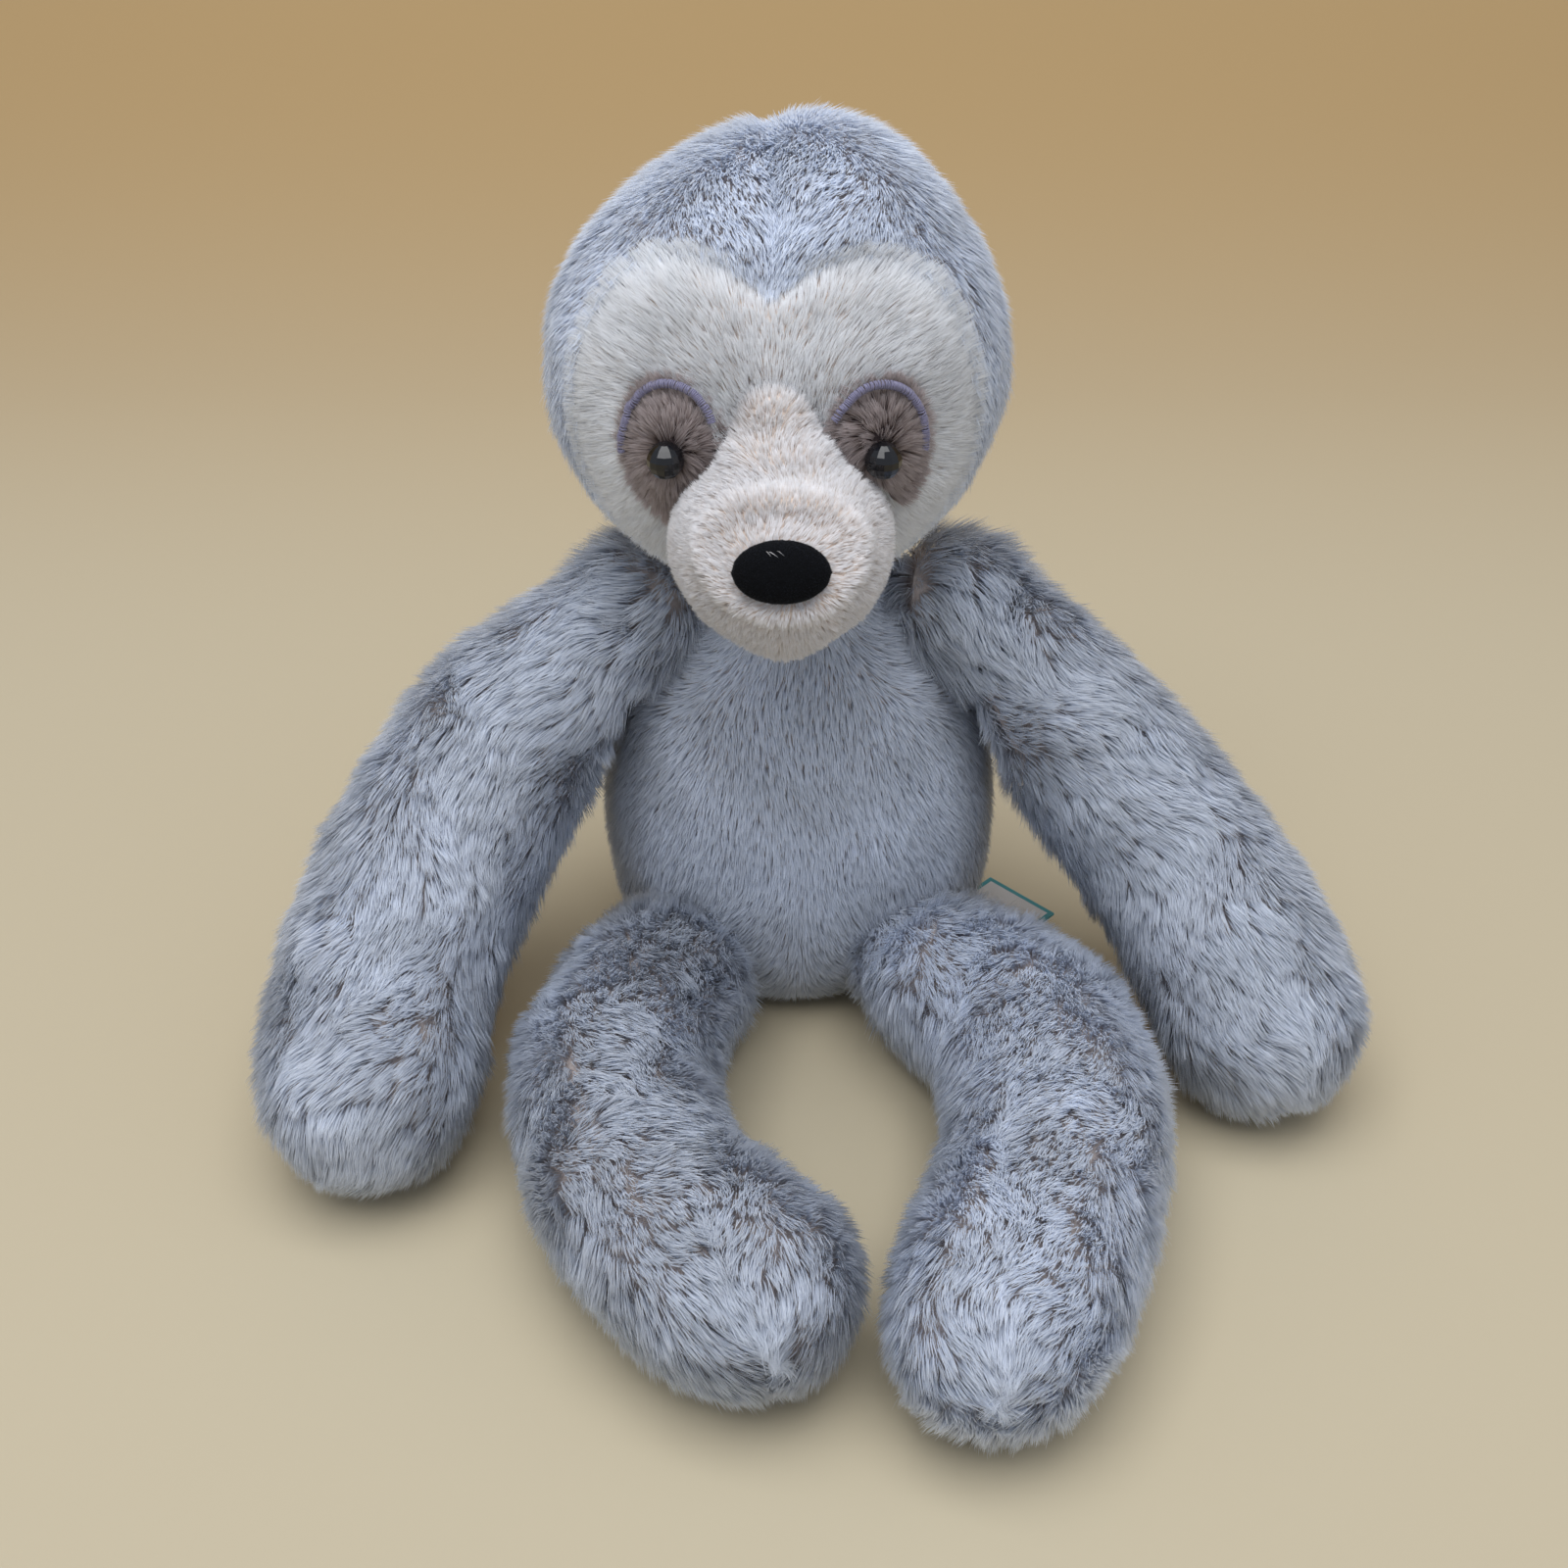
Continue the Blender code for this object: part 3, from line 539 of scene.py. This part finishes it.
cotton, cotton_shader = finish_named("plain_woven_cotton", Roughness=0.9,
                                     Specular_IOR_Level=0.15)
cotton_place = add(cotton, "TexCoord", {})
weave = [add(cotton, "TexWave", {"Vector": cotton_place.outputs["Object"],
                                 "Scale": math.pi / (POUCH_THREAD * 10)}, bands_direction=axis)
         for axis in "XY"]
woven = add(cotton, "Math", {0: weave[0].outputs["Fac"], 1: weave[1].outputs["Fac"]},
            operation="MULTIPLY")
tinted(cotton, cotton_shader, colour(POUCH_COLOUR)[:3], woven.outputs["Value"], POUCH_TONES)
cotton_bump = add(cotton, "Bump", {"Height": woven.outputs["Value"], "Distance": POUCH_RELIEF})
link(cotton, cotton_bump.outputs["Normal"], cotton_shader.inputs["Normal"])
pouch = stuffed_form("bean_pouch_cloth", ["seat_bean_pouch"], cotton, depth=POUCH_DEPTH,
                     wrap=POUCH_WRAP, lumps=POUCH_DEPTH)
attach(pouch, "torso")
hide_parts("seat_bean_pouch")

# Each arm and leg is one tapering sleeve of the same plush, gathered where it joins the torso.
# The pile is longer here, brushed towards the paw and ruffled by handling.
LIMB_PILE = 0.0102
SHOULDER_PILE = 0.0130
LIMB_SEAM_PULL = 0.014
ROOT_BEND = (-0.002, 0.014)
LIMB_BEND = (0.014, 0.052)
PAW_OVERSHOOT = 0.035
TUCK_PLACE = 0.004
TUCK_RADIUS = 0.019
NEAREST_PERCENT = 25
FAR_PERCENT = 60
PAW_PERCENT = 85
PAW_BRUSH = 1.4
LIMB_SEAM_BRUSH = 1.1

# The limbs differ a little in tone: painted light and shade, paler on the left leg, which faces
# the light, and darker on the arms and the right leg.
LIMB_PAINTED_LIGHT_AND_SHADE = {"right_arm": 0.4, "left_arm": 0.3, "right_leg": 0.4, "left_leg": 0.7}

limb_parts = {
    "right_arm": ("right_shoulder", "right_shoulder_swing"),
    "left_arm": ("left_shoulder", "left_shoulder_swing"),
    "right_leg": ("right_hip", "right_hip_lift"),
    "left_leg": ("left_hip", "left_hip_lift"),
}


def part_of(skin, name, point, direction):
    """Copy the side of a closed skin that lies past a plane, and close its cut."""
    shape = bmesh.new()
    shape.from_mesh(skin.data)
    everything = shape.verts[:] + shape.edges[:] + shape.faces[:]
    bmesh.ops.bisect_plane(shape, geom=everything, plane_co=point, plane_no=direction,
                           clear_inner=True)
    bmesh.ops.holes_fill(shape, edges=[e for e in shape.edges if e.is_boundary])
    return piece_of(shape, name, skin.data.materials[0])


for number, (limb, (root_body, root_joint)) in enumerate(limb_parts.items()):
    pivot = Vector(pivots[root_joint])
    sleeve = np.array([v.co for v in frame["nodes"][limb + "_sleeve"].data.vertices])
    distance = np.linalg.norm(sleeve - np.array(pivot), axis=1)
    near = sleeve[distance < np.percentile(distance, NEAREST_PERCENT)]
    outwards = (Vector(near.mean(axis=0)) - pivot).normalized()
    paw = Vector(sleeve[distance > np.percentile(distance, PAW_PERCENT)].mean(axis=0))
    far = Vector(sleeve[distance > np.percentile(distance, FAR_PERCENT)].mean(axis=0))
    paw += (paw - far).normalized() * PAW_OVERSHOOT
    tuck = (pivot + outwards * TUCK_PLACE, (TUCK_RADIUS,) * 3)
    skin = stuffed_form(limb + "_whole", [limb + "_root", limb + "_sleeve", limb + "_filling"],
                        grey_backing, balls=[tuck])

    seam_side = np.array((paw - pivot).cross(Vector((0, -1, 1))).normalized())

    def towards_the_paw(points):
        """Brush the limb's pile from its root to the paw, and in towards its upper seam."""
        from_root = unit(points - np.array(pivot - outwards * TUCK_RADIUS))
        to_paw = unit(np.array(paw) - points)
        beside = ((points - sleeve.mean(axis=0)) @ seam_side)[:, None]
        to_seam = LIMB_SEAM_BRUSH * seam_side * np.tanh(beside / LIMB_SEAM_PULL)
        return from_root + PAW_BRUSH * to_paw - to_seam

    cut = pivot + outwards * ROOT_BEND[1]
    root = part_of(skin, limb + "_root_skin", cut, -outwards)
    rest = part_of(skin, limb + "_skin", cut, outwards)
    bpy.data.objects.remove(skin)
    for part, body_pair, bend, node_names in (
            (root, ("torso", root_body), ROOT_BEND, ["_root"]),
            (rest, (root_body, limb), LIMB_BEND, ["_sleeve", "_filling"])):
        length = SHOULDER_PILE if part.name.endswith("arm_root_skin") else LIMB_PILE
        # The pile's tone is painted light and shade, set for each limb.
        pile = grow_pile(part.name.replace("skin", "pile"), part, grey_pile, towards_the_paw,
                         length, lean=0.72, ruffle=0.9, tuft=30, draw=0.45,
                         share=clear_of(torso_surface, PILE_OVERLAP),
                         brightness=LIMB_PAINTED_LIGHT_AND_SHADE[limb], seed=20 + number)
        for piece in (part, pile):
            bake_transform(piece)
        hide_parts(*[limb + node for node in node_names])

# The neck is a gathered band between the torso and the head, hidden by the pile round it.
NECK_PILE = 0.008
NECK_DEPTH = 0.0066

neck = stuffed_form("neck_skin", ["neck_gather"], grey_backing, depth=NECK_DEPTH, lumps=0)
neck_pile = grow_pile("neck_pile", neck, grey_pile, down_the_body, NECK_PILE, seed=31,
                      hairs_per_area=HAIRS_PER_AREA / 2)
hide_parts("neck_gather")
for piece in (neck, neck_pile):
    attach(piece, "neck")

# The head is a stuffed ball: a grey hood in two halves round a heart-shaped cream face.
# The hood's pile is parted at the crown and meets in a peak, and the face's is brushed
# away from the bridge of the nose and from the eyes.
CREAM_ROOT = 0xE6D2C5
CREAM_MIDDLE = 0xF1F1F2
CREAM_TIP = 0xF8FBFF
CREAM_BACKING = 0xE6D6C9
PATCH_MARGIN = 0.0014
PATCH_MARGIN_WIDTH = 0.006
HOOD_PILE = 0.0076
# The hood's tufts are set paler than the rest of the grey pile: painted light, where the top of
# the head faces the lamp.
HOOD_PAINTED_LIGHT = 0.85
FACE_PILE = 0.0062
HEAD_SEAM_DEPTH = 0.0016
HEAD_SEAM_WIDTH = 0.0032
EYE_PARTING = 0.014
EYE_PAD_REACH = 0.0095
EYE_PAD_RISE = 0.0034
OUTLINE_SAMPLES = 60000
OUTLINE_BINS = 96
OUTLINE_SPREAD = 0.6
CROWN_PLACE = (0.004, 0.014, -0.012)  # the hair's whorl, from the head's middle and top
BRIDGE_DROP = 0.004
FRONT_MARGIN = 0.004
ELSEWHERE = 0.1  # keeps what borders the face off the rest of the head
HOOD_FALL = (0, 0, -0.3)
PARTING_WIDTH = 0.02
FOREHEAD_DEPTH = 0.02
PARTING_BRUSH = 2.2
PEAK_BRUSH = 0.5
EYE_BRUSH = 1.6
FACE_EDGE_TRIM = 0.35
FACE_EDGE_WIDTH = 0.004
PEAK_TRIM = 0.45
PEAK_DROP = 0.005
PEAK_WIDTH = 0.009

cream_pile = pile_material("cream_cut_pile_acrylic", CREAM_ROOT, CREAM_MIDDLE, CREAM_TIP)
cream_backing = backing_material("cream_knitted_backing", CREAM_BACKING)
head_nodes = ["hood_right", "hood_left", "face_panel", "head_filling"]
head = stuffed_form("head_skin", head_nodes, grey_backing)
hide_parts(*head_nodes)
head_low, head_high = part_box("head_filling")
head_middle = np.array((head_low + head_high) / 2)
face_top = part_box("face_panel")[1].z
crown = np.array((head_middle[0], head_middle[1], head_high.z)) + CROWN_PLACE
bridge = np.array((head_middle[0], head_low.y, head_middle[2] - BRIDGE_DROP))
eyes = [np.array((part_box(eye)[0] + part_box(eye)[1]) / 2) for eye in ("right_eye", "left_eye")]


def outline_of(node, centre):
    """Find a panel's outline as seen from the front, as its reach at each angle."""
    points, _, corners = skin_arrays(frame["nodes"][node])
    rng = np.random.default_rng(3)
    chosen = corners[rng.integers(len(corners), size=OUTLINE_SAMPLES)]
    mix = rng.dirichlet((OUTLINE_SPREAD,) * 3, OUTLINE_SAMPLES)
    samples = (points[chosen] * mix[:, :, None]).sum(axis=1) - centre
    turn = np.arctan2(samples[:, 2], samples[:, 0])
    reach = np.hypot(samples[:, 0], samples[:, 2])
    bins = ((turn / (2 * math.pi) + 0.5) * OUTLINE_BINS).astype(int) % OUTLINE_BINS
    edge = np.zeros(OUTLINE_BINS)
    np.maximum.at(edge, bins, reach)
    middles = (np.arange(OUTLINE_BINS) + 0.5) / OUTLINE_BINS * 2 * math.pi - math.pi

    def beyond(points):
        """Return how far each point lies outside the outline, or inside, below 0."""
        across, up = points[:, 0] - centre[0], points[:, 2] - centre[2]
        here = np.interp(np.arctan2(up, across), middles, edge, period=2 * math.pi)
        return np.hypot(across, up) - here
    return beyond


beyond_face = outline_of("face_panel", head_middle)
beyond_patches = [outline_of(side + "_eye_patch", eye)
                  for side, eye in zip(("right", "left"), eyes)]


def in_front(points):
    return points[:, 1] < head_middle[1] - FRONT_MARGIN


def beyond_patch(points, number):
    """Return how far each point lies outside a patch, whose fur reaches out to the arc."""
    mirror = (-1, 1)[number]
    outer_share = np.clip(mirror * (points[:, 0] - eyes[number][0]) / PATCH_MARGIN_WIDTH, 0, 1)
    return beyond_patches[number](points) - PATCH_MARGIN * outer_share


def on_the_face(points):
    inside = in_front(points) & (beyond_face(points) < 0)
    for number in (0, 1):
        inside &= beyond_patch(points, number) > 0
    return inside


def on_the_hood(points):
    return ~(in_front(points) & (beyond_face(points) < 0))


def on_right_hood(points):
    return on_the_hood(points) & (points[:, 0] < head_middle[0])


def on_left_hood(points):
    return on_the_hood(points) & (points[:, 0] >= head_middle[0])


def down_the_hood(points):
    """Brush the hood's pile from the crown, in towards the parting over the forehead."""
    flow = unit(points - crown) + HOOD_FALL
    beside = (points[:, 0] - head_middle[0]) / PARTING_WIDTH
    forehead = np.clip((head_middle[1] - points[:, 1]) / FOREHEAD_DEPTH, 0, 1)
    flow[:, 0] -= PARTING_BRUSH * forehead * beside * np.exp(-beside ** 2)
    flow[:, 2] -= PEAK_BRUSH * forehead * np.exp(-beside ** 2)
    return flow


def from_the_bridge(points):
    """Brush the face's pile up and out from the bridge, and away from each eye."""
    flow = unit(points - bridge)
    for eye in eyes:
        distance = np.linalg.norm(points - eye, axis=1, keepdims=True)
        flow = flow + EYE_BRUSH * unit(points - eye) * np.exp(-(distance / EYE_PARTING) ** 2)
    return flow


def cut_at_the_face(points):
    """Keep the hood's pile shorter along the face, so that its browner depth shows."""
    edge = np.abs(beyond_face(points)) + ELSEWHERE * ~in_front(points)
    return 1 - FACE_EDGE_TRIM * np.exp(-(edge / FACE_EDGE_WIDTH) ** 2)


def trimmed_at_the_peak(points):
    """Keep the face's pile short where the hood's peak lies over it."""
    peak = np.hypot(points[:, 0] - head_middle[0], points[:, 2] - face_top + PEAK_DROP)
    return 1 - PEAK_TRIM * np.exp(-(peak / PEAK_WIDTH) ** 2)


points, normals, _ = skin_arrays(head)
seam = np.abs(beyond_face(points + normals * PILE_DEPTH)) + ELSEWHERE * ~in_front(points)
parting = np.abs(points[:, 0] - head_middle[0]) + ELSEWHERE * (beyond_face(points) < 0)
seam_share = np.exp(-(np.minimum(seam, parting) / HEAD_SEAM_WIDTH) ** 2)
points -= normals * (HEAD_SEAM_DEPTH * seam_share)[:, None]
for eye in eyes:
    beside = np.linalg.norm(points - eye, axis=1) / EYE_PAD_REACH
    points += normals * (EYE_PAD_RISE * np.exp(-beside ** 4))[:, None]
head.data.vertices.foreach_set("co", points.ravel())
head.data.update()
head.data.materials.append(cream_backing)
face_share = in_front(points) & (beyond_face(points + normals * PILE_DEPTH) < 0)
for polygon in head.data.polygons:
    polygon.material_index = int(face_share[polygon.vertices[0]])
head_surface = surface_of(head)

for side, within in (("right", on_right_hood), ("left", on_left_hood)):
    pile = grow_pile("hood_" + side + "_pile", head, grey_pile, down_the_hood, HOOD_PILE,
                     lean=0.62, ruffle=0.4, tuft=16, draw=0.3, within=within,
                     hairs_per_area=5e6, trim=cut_at_the_face, brightness=HOOD_PAINTED_LIGHT,
                     seed=41)
    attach(pile, "head")
face_pile = grow_pile("face_pile", head, cream_pile, from_the_bridge, FACE_PILE, lean=0.75,
                      ruffle=0.45, tuft=14, draw=0.3, within=on_the_face, seed=42,
                      trim=trimmed_at_the_peak, hairs_per_area=8e6, width=0.00025)
for piece, slot in ((head, "grey_fur"), (face_pile, "cream_fur")):
    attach(piece, "head")

# The muzzle is a small stuffed cap of cream plush with a short, dense pile. It runs up
# between the eyes as a bridge, and a soft rim stands round the nose.
MUZZLE_PILE = 0.0035
MUZZLE_DEPTH = 0.0016
MUZZLE_WRAP = 0.0013
BRIDGE_BALLS = [((-0.0058, -0.0615, 0.1885), (0.0098, 0.0100, 0.0105)),
                ((-0.0052, -0.0660, 0.1800), (0.0140, 0.0130, 0.0110))]
RIM_REACH = 1.42
RIM_WIDTH = 0.26
RIM_HEIGHT = 0.0026
CHIN_DROP = 0.0028
CHIN_WIDTH = 0.007
CHIN_ASIDE = 0.001
CHIN_BELOW = 0.008
CHIN_BLEND = 0.01
SNOUT_DEPTH = 0.024
SNOUT_BLEND = 0.012
MUZZLE_LUMPS = 0.0006
SHORT_PILE_ROOT = 0xC4AC9C
SHORT_PILE_MIDDLE = 0xEDE8E5
SHORT_PILE_TIP = 0xF8FAFF

short_pile = pile_material("cream_short_pile_acrylic", SHORT_PILE_ROOT, SHORT_PILE_MIDDLE,
                           SHORT_PILE_TIP)
muzzle = stuffed_form("muzzle_skin", ["muzzle_cover", "muzzle_filling"], cream_backing,
                      depth=MUZZLE_DEPTH, wrap=MUZZLE_WRAP, lumps=MUZZLE_LUMPS,
                      balls=BRIDGE_BALLS)
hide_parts("muzzle_cover", "muzzle_filling")
nose_low, nose_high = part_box("nose_pad")
nose_middle = np.array((nose_low + nose_high) / 2)
nose_half = np.array((nose_high - nose_low) / 2)

points, normals, _ = skin_arrays(muzzle)
from_nose = (points - nose_middle)[:, (0, 2)] / nose_half[[0, 2]]
front_share = np.clip((nose_middle[1] + SNOUT_DEPTH - points[:, 1]) / SNOUT_BLEND, 0, 1)
rim_share = np.exp(-((np.linalg.norm(from_nose, axis=1) - RIM_REACH) / RIM_WIDTH) ** 2)
chin_share = (np.exp(-((points[:, 0] - nose_middle[0] - CHIN_ASIDE) / CHIN_WIDTH) ** 2)
              * np.clip((nose_low.z - CHIN_BELOW - points[:, 2]) / CHIN_BLEND, 0, 1))
points += normals * (RIM_HEIGHT * rim_share * front_share)[:, None]
points[:, 2] -= CHIN_DROP * chin_share * front_share
muzzle.data.vertices.foreach_set("co", points.ravel())
muzzle.data.update()


def from_the_nose(points):
    return unit(points - nose_middle)


muzzle_pile = grow_pile("muzzle_pile", muzzle, short_pile, from_the_nose, MUZZLE_PILE, lean=0.85,
                        ruffle=0.9, tuft=12, draw=0.4, width=0.00024, hairs_per_area=1.05e7,
                        share=clear_of(head_surface, PILE_OVERLAP), seed=51)
for piece in (muzzle, muzzle_pile):
    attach(piece, "head")

# Each eye sits in a drop-shaped patch of mauve-brown plush, sewn into the face. Its pile
# stands up round the bead and half hides it.
PATCH_ROOT = 0x5A4740
PATCH_MIDDLE = 0x98867F
PATCH_TIP = 0xD6CCCD
PATCH_BACKING = 0x6A5C5C
PATCH_PILE = 0.0068
PATCH_LIFT = 0.0008
PATCH_CLOTH = 0.0008
PATCH_RIM_PASSES = 3
BEAD_CLEARANCE = 0.0018

patch_pile = pile_material("mauve_brown_cut_pile", PATCH_ROOT, PATCH_MIDDLE, PATCH_TIP)
patch_backing = backing_material("mauve_brown_backing", PATCH_BACKING)
for number, (side, eye) in enumerate(zip(("right", "left"), eyes)):

    def on_the_patch(points):
        return in_front(points) & (beyond_patch(points, number) < 0)

    def from_the_bead(points):
        return unit(points - eye)

    def clear_of_the_bead(points):
        across = (points - eye)[:, (0, 2)]
        return (np.linalg.norm(across, axis=1) > BEAD_CLEARANCE).astype(float)

    shape = bmesh.new()
    shape.from_mesh(head.data)
    outer = np.array([v.co + v.normal * PILE_DEPTH for v in shape.verts])
    outside = [v for v, kept in zip(shape.verts, on_the_patch(outer)) if not kept]
    bmesh.ops.delete(shape, geom=outside, context="VERTS")
    rim = [v for v in shape.verts if v.is_boundary]
    for _ in range(PATCH_RIM_PASSES):
        bmesh.ops.smooth_vert(shape, verts=rim, factor=0.5, use_axis_x=True, use_axis_y=True,
                              use_axis_z=True)
    for v in shape.verts:
        v.co += v.normal * PATCH_LIFT
    bmesh.ops.solidify(shape, geom=shape.faces[:], thickness=PATCH_CLOTH)
    bmesh.ops.recalc_face_normals(shape, faces=shape.faces)
    cloth = piece_of(shape, side + "_patch_cloth", patch_backing)
    pile = grow_pile(side + "_patch_pile", head, patch_pile, from_the_bead, PATCH_PILE, lean=0.95,
                     ruffle=1.4, tuft=26, draw=0.52, within=on_the_patch, width=0.00024,
                     share=clear_of_the_bead, hairs_per_area=2.4e7, seed=61)
    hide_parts(side + "_eye_patch")
    for piece in (cloth, pile):
        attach(piece, "head")

# A satin stitch edges the top of each patch: bright lilac-grey rayon thread, laid side by
# side across the edge in an arc.
THREAD_COLOUR = 0x6F6C88
THREAD_DIAMETER = 0.00046
STITCH_COUNT = 96
STITCH_WIDTH = 0.0016
STITCH_HEIGHT = 0.0008
STITCH_LIFT = 0.0044
STITCH_STATIONS = 5
STITCH_SLANT = 0.00009
ARC_END = 0.06
ARC_BLEND = 0.11
ARC_PASSES = 6
THREAD_CELLS = 1600  # a metre, so 0.6 mm each: the sheen of single threads, drawn coarser
# The thread's grain is painted sheen: threads paler and darker as they catch the light.
THREAD_PAINTED_SHEEN = (0.55, 1.35)

rayon, rayon_shader = finish_named("rayon_embroidery_thread", Roughness=0.38,
                                   Anisotropic=0.5, Sheen_Weight=0.3)
grained(rayon, rayon_shader, THREAD_COLOUR, THREAD_CELLS, THREAD_PAINTED_SHEEN)
for side, eye in zip(("right", "left"), eyes):
    node = side + "_brow_stitching"
    path = np.array([v.co for v in frame["nodes"][node].data.vertices])
    mirror = -1 if side == "right" else 1
    turns = np.arctan2(path[:, 2] - eye[2], mirror * (path[:, 0] - eye[0]))
    stations = np.linspace(turns.min() + ARC_END, turns.max() - ARC_END, STITCH_COUNT)
    near = np.exp(-((turns[None, :] - stations[:, None]) / ARC_BLEND) ** 2)
    middles = near @ path / near.sum(axis=1, keepdims=True)
    for i, middle in enumerate(middles):
        below, normal, _, _ = head_surface.find_nearest(middle)
        middles[i] = below + normal * STITCH_LIFT
    for _ in range(ARC_PASSES):
        middles[1:-1] = (middles[:-2] + middles[1:-1] * 2 + middles[2:]) / 4
    runs = unit(np.gradient(middles, axis=0))
    ups = unit(middles - head_middle)
    outs = np.cross(runs, ups)
    rng = np.random.default_rng(71)
    threads = bpy.data.curves.new(side + "_brow_threads", "CURVE")
    threads.dimensions = "3D"
    threads.bevel_depth = THREAD_DIAMETER / 2
    threads.bevel_resolution = 1
    for middle, run, up, out in zip(middles, runs, ups, outs):
        line = threads.splines.new("POLY")
        line.points.add(STITCH_STATIONS - 1)
        slant = rng.normal(0, STITCH_SLANT, 2)
        for i, point in enumerate(line.points):
            angle = math.pi * i / (STITCH_STATIONS - 1)
            place = (middle + out * math.cos(angle) * STITCH_WIDTH / 2
                     + up * (math.sin(angle) * STITCH_HEIGHT - STITCH_HEIGHT / 2)
                     + run * (slant[0] * math.cos(angle) + slant[1]))
            point.co = (*place, 1)
    curve = bpy.data.objects.new(side + "_brow_curve", threads)
    stitching_mesh = bpy.data.meshes.new_from_object(curve)
    bpy.data.objects.remove(curve)
    shape = bmesh.new()
    shape.from_mesh(stitching_mesh)
    stitching = piece_of(shape, side + "_brow_threads", rayon)
    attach(stitching, "head")
    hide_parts(node)

# The nose is a padded oval of black velour, whose pile is under a millimetre long. A few
# stray cream fibres from the muzzle lie across its top.
VELOUR_ROOT = 0x0A0B0E
VELOUR_MIDDLE = 0x15171C
VELOUR_TIP = 0x262A33
VELOUR_PILE = 0.0011
NOSE_DEPTH = -0.0002
NOSE_WRAP = 0.0008
STRAY_LENGTH = 0.0042
STRAY_START = 0.004
STRAY_BRUSH = (0.6, -0.2, -1)

velour = pile_material("black_nylon_velour", VELOUR_ROOT, VELOUR_MIDDLE, VELOUR_TIP)
velour_backing = backing_material("black_velour_ground", VELOUR_ROOT)
nose = stuffed_form("nose_skin", ["nose_pad"], velour_backing, depth=NOSE_DEPTH, wrap=NOSE_WRAP,
                    lumps=0)
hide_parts("nose_pad")


def over_the_top(points):
    return (points[:, 2] > nose_middle[2] + STRAY_START).astype(float)


def down_and_aside(points):
    return np.tile(np.array(STRAY_BRUSH, dtype=float), (len(points), 1))


nose_pile = grow_pile("nose_pile", nose, velour, from_the_nose, VELOUR_PILE, lean=1.0, ruffle=0.6,
                      tuft=6, draw=0.2, width=0.00016, hairs_per_area=4e7, seed=81)
stray = grow_pile("nose_stray_fibres", nose, cream_pile, down_and_aside, STRAY_LENGTH,
                  lean=0.35, ruffle=1.5, tuft=3, draw=0.2, width=0.00013,
                  hairs_per_area=1e5, share=over_the_top, seed=82)
for piece in (nose, nose_pile):
    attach(piece, "head")
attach(stray, "head")

# The eyes are moulded black acrylic beads with a polished surface. A nylon washer grips
# each shank behind the face.
EYE_COLOUR = 0x0B0C10
NYLON_COLOUR = 0xE4E0D6
ACRYLIC_CELLS = 300
ACRYLIC_TONES = (0.8, 1.3)
ACRYLIC_GLOSS = (0.05, 0.12)
NYLON_CELLS = 900
NYLON_TONES = (0.92, 1.05)

acrylic, acrylic_shader = finish_named("polished_black_acrylic", IOR=1.49)
swirl = grained(acrylic, acrylic_shader, EYE_COLOUR, ACRYLIC_CELLS, ACRYLIC_TONES)
acrylic_gloss = add(acrylic, "MapRange", {"Value": swirl, "To Min": ACRYLIC_GLOSS[0],
                                          "To Max": ACRYLIC_GLOSS[1]})
link(acrylic, acrylic_gloss.outputs["Result"], acrylic_shader.inputs["Roughness"])
nylon, nylon_shader = finish_named("moulded_white_nylon", IOR=1.53, Roughness=0.45)
grained(nylon, nylon_shader, NYLON_COLOUR, NYLON_CELLS, NYLON_TONES)
for side in ("right", "left"):
    for part, material in (("_eye", acrylic), ("_eye_washer", nylon)):
        frame["nodes"][side + part].material_slots[0].material = material

# The label is a small square of white woven satin with a teal edge, folded into the side
# seam at one corner. It is blank.
LABEL_WHITE = 0xDADCE0
LABEL_TEAL = 0x2E9AA8
LABEL_HALF = 0.012
LABEL_EDGE = 0.0014
LABEL_THREAD = 0.0004  # a little coarser than the real one, to show
LABEL_TONES = (0.88, 1.04)
LABEL_RELIEF = 0.0001

satin, satin_shader = finish_named("woven_polyester_satin", Roughness=0.45, Sheen_Weight=0.2)
satin_place = add(satin, "TexCoord", {})
label_low, label_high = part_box("sewn_label")
label_tip = Vector((label_high.x - LABEL_HALF * math.sqrt(2), 0, label_low.z))
laid = add(satin, "Mapping", {"Vector": satin_place.outputs["Object"],
                              "Location": label_tip, "Rotation": (0, 0, math.radians(45))},
           vector_type="TEXTURE")
satin_axes = add(satin, "SeparateXYZ", {"Vector": laid.outputs["Vector"]})
reaches = [add(satin, "Math", {0: satin_axes.outputs[axis]}, operation="ABSOLUTE")
           for axis in "XY"]
reach = add(satin, "Math", {0: reaches[0].outputs["Value"], 1: reaches[1].outputs["Value"]},
            operation="MAXIMUM")
edge = add(satin, "Math", {0: reach.outputs["Value"], 1: LABEL_HALF - LABEL_EDGE},
           operation="GREATER_THAN")
satin_colour = add(satin, "Mix", {0: edge.outputs["Value"], "A": colour(LABEL_WHITE),
                                  "B": colour(LABEL_TEAL)}, data_type="RGBA")
threads = add(satin, "TexWave", {"Vector": laid.outputs["Vector"],
                                 "Scale": math.pi / (LABEL_THREAD * 10), "Distortion": 0.6})
tinted(satin, satin_shader, satin_colour.outputs[2], threads.outputs["Fac"], LABEL_TONES)
satin_bump = add(satin, "Bump", {"Height": threads.outputs["Fac"], "Distance": LABEL_RELIEF})
link(satin, satin_bump.outputs["Normal"], satin_shader.inputs["Normal"])
frame["nodes"]["sewn_label"].material_slots[0].material = satin
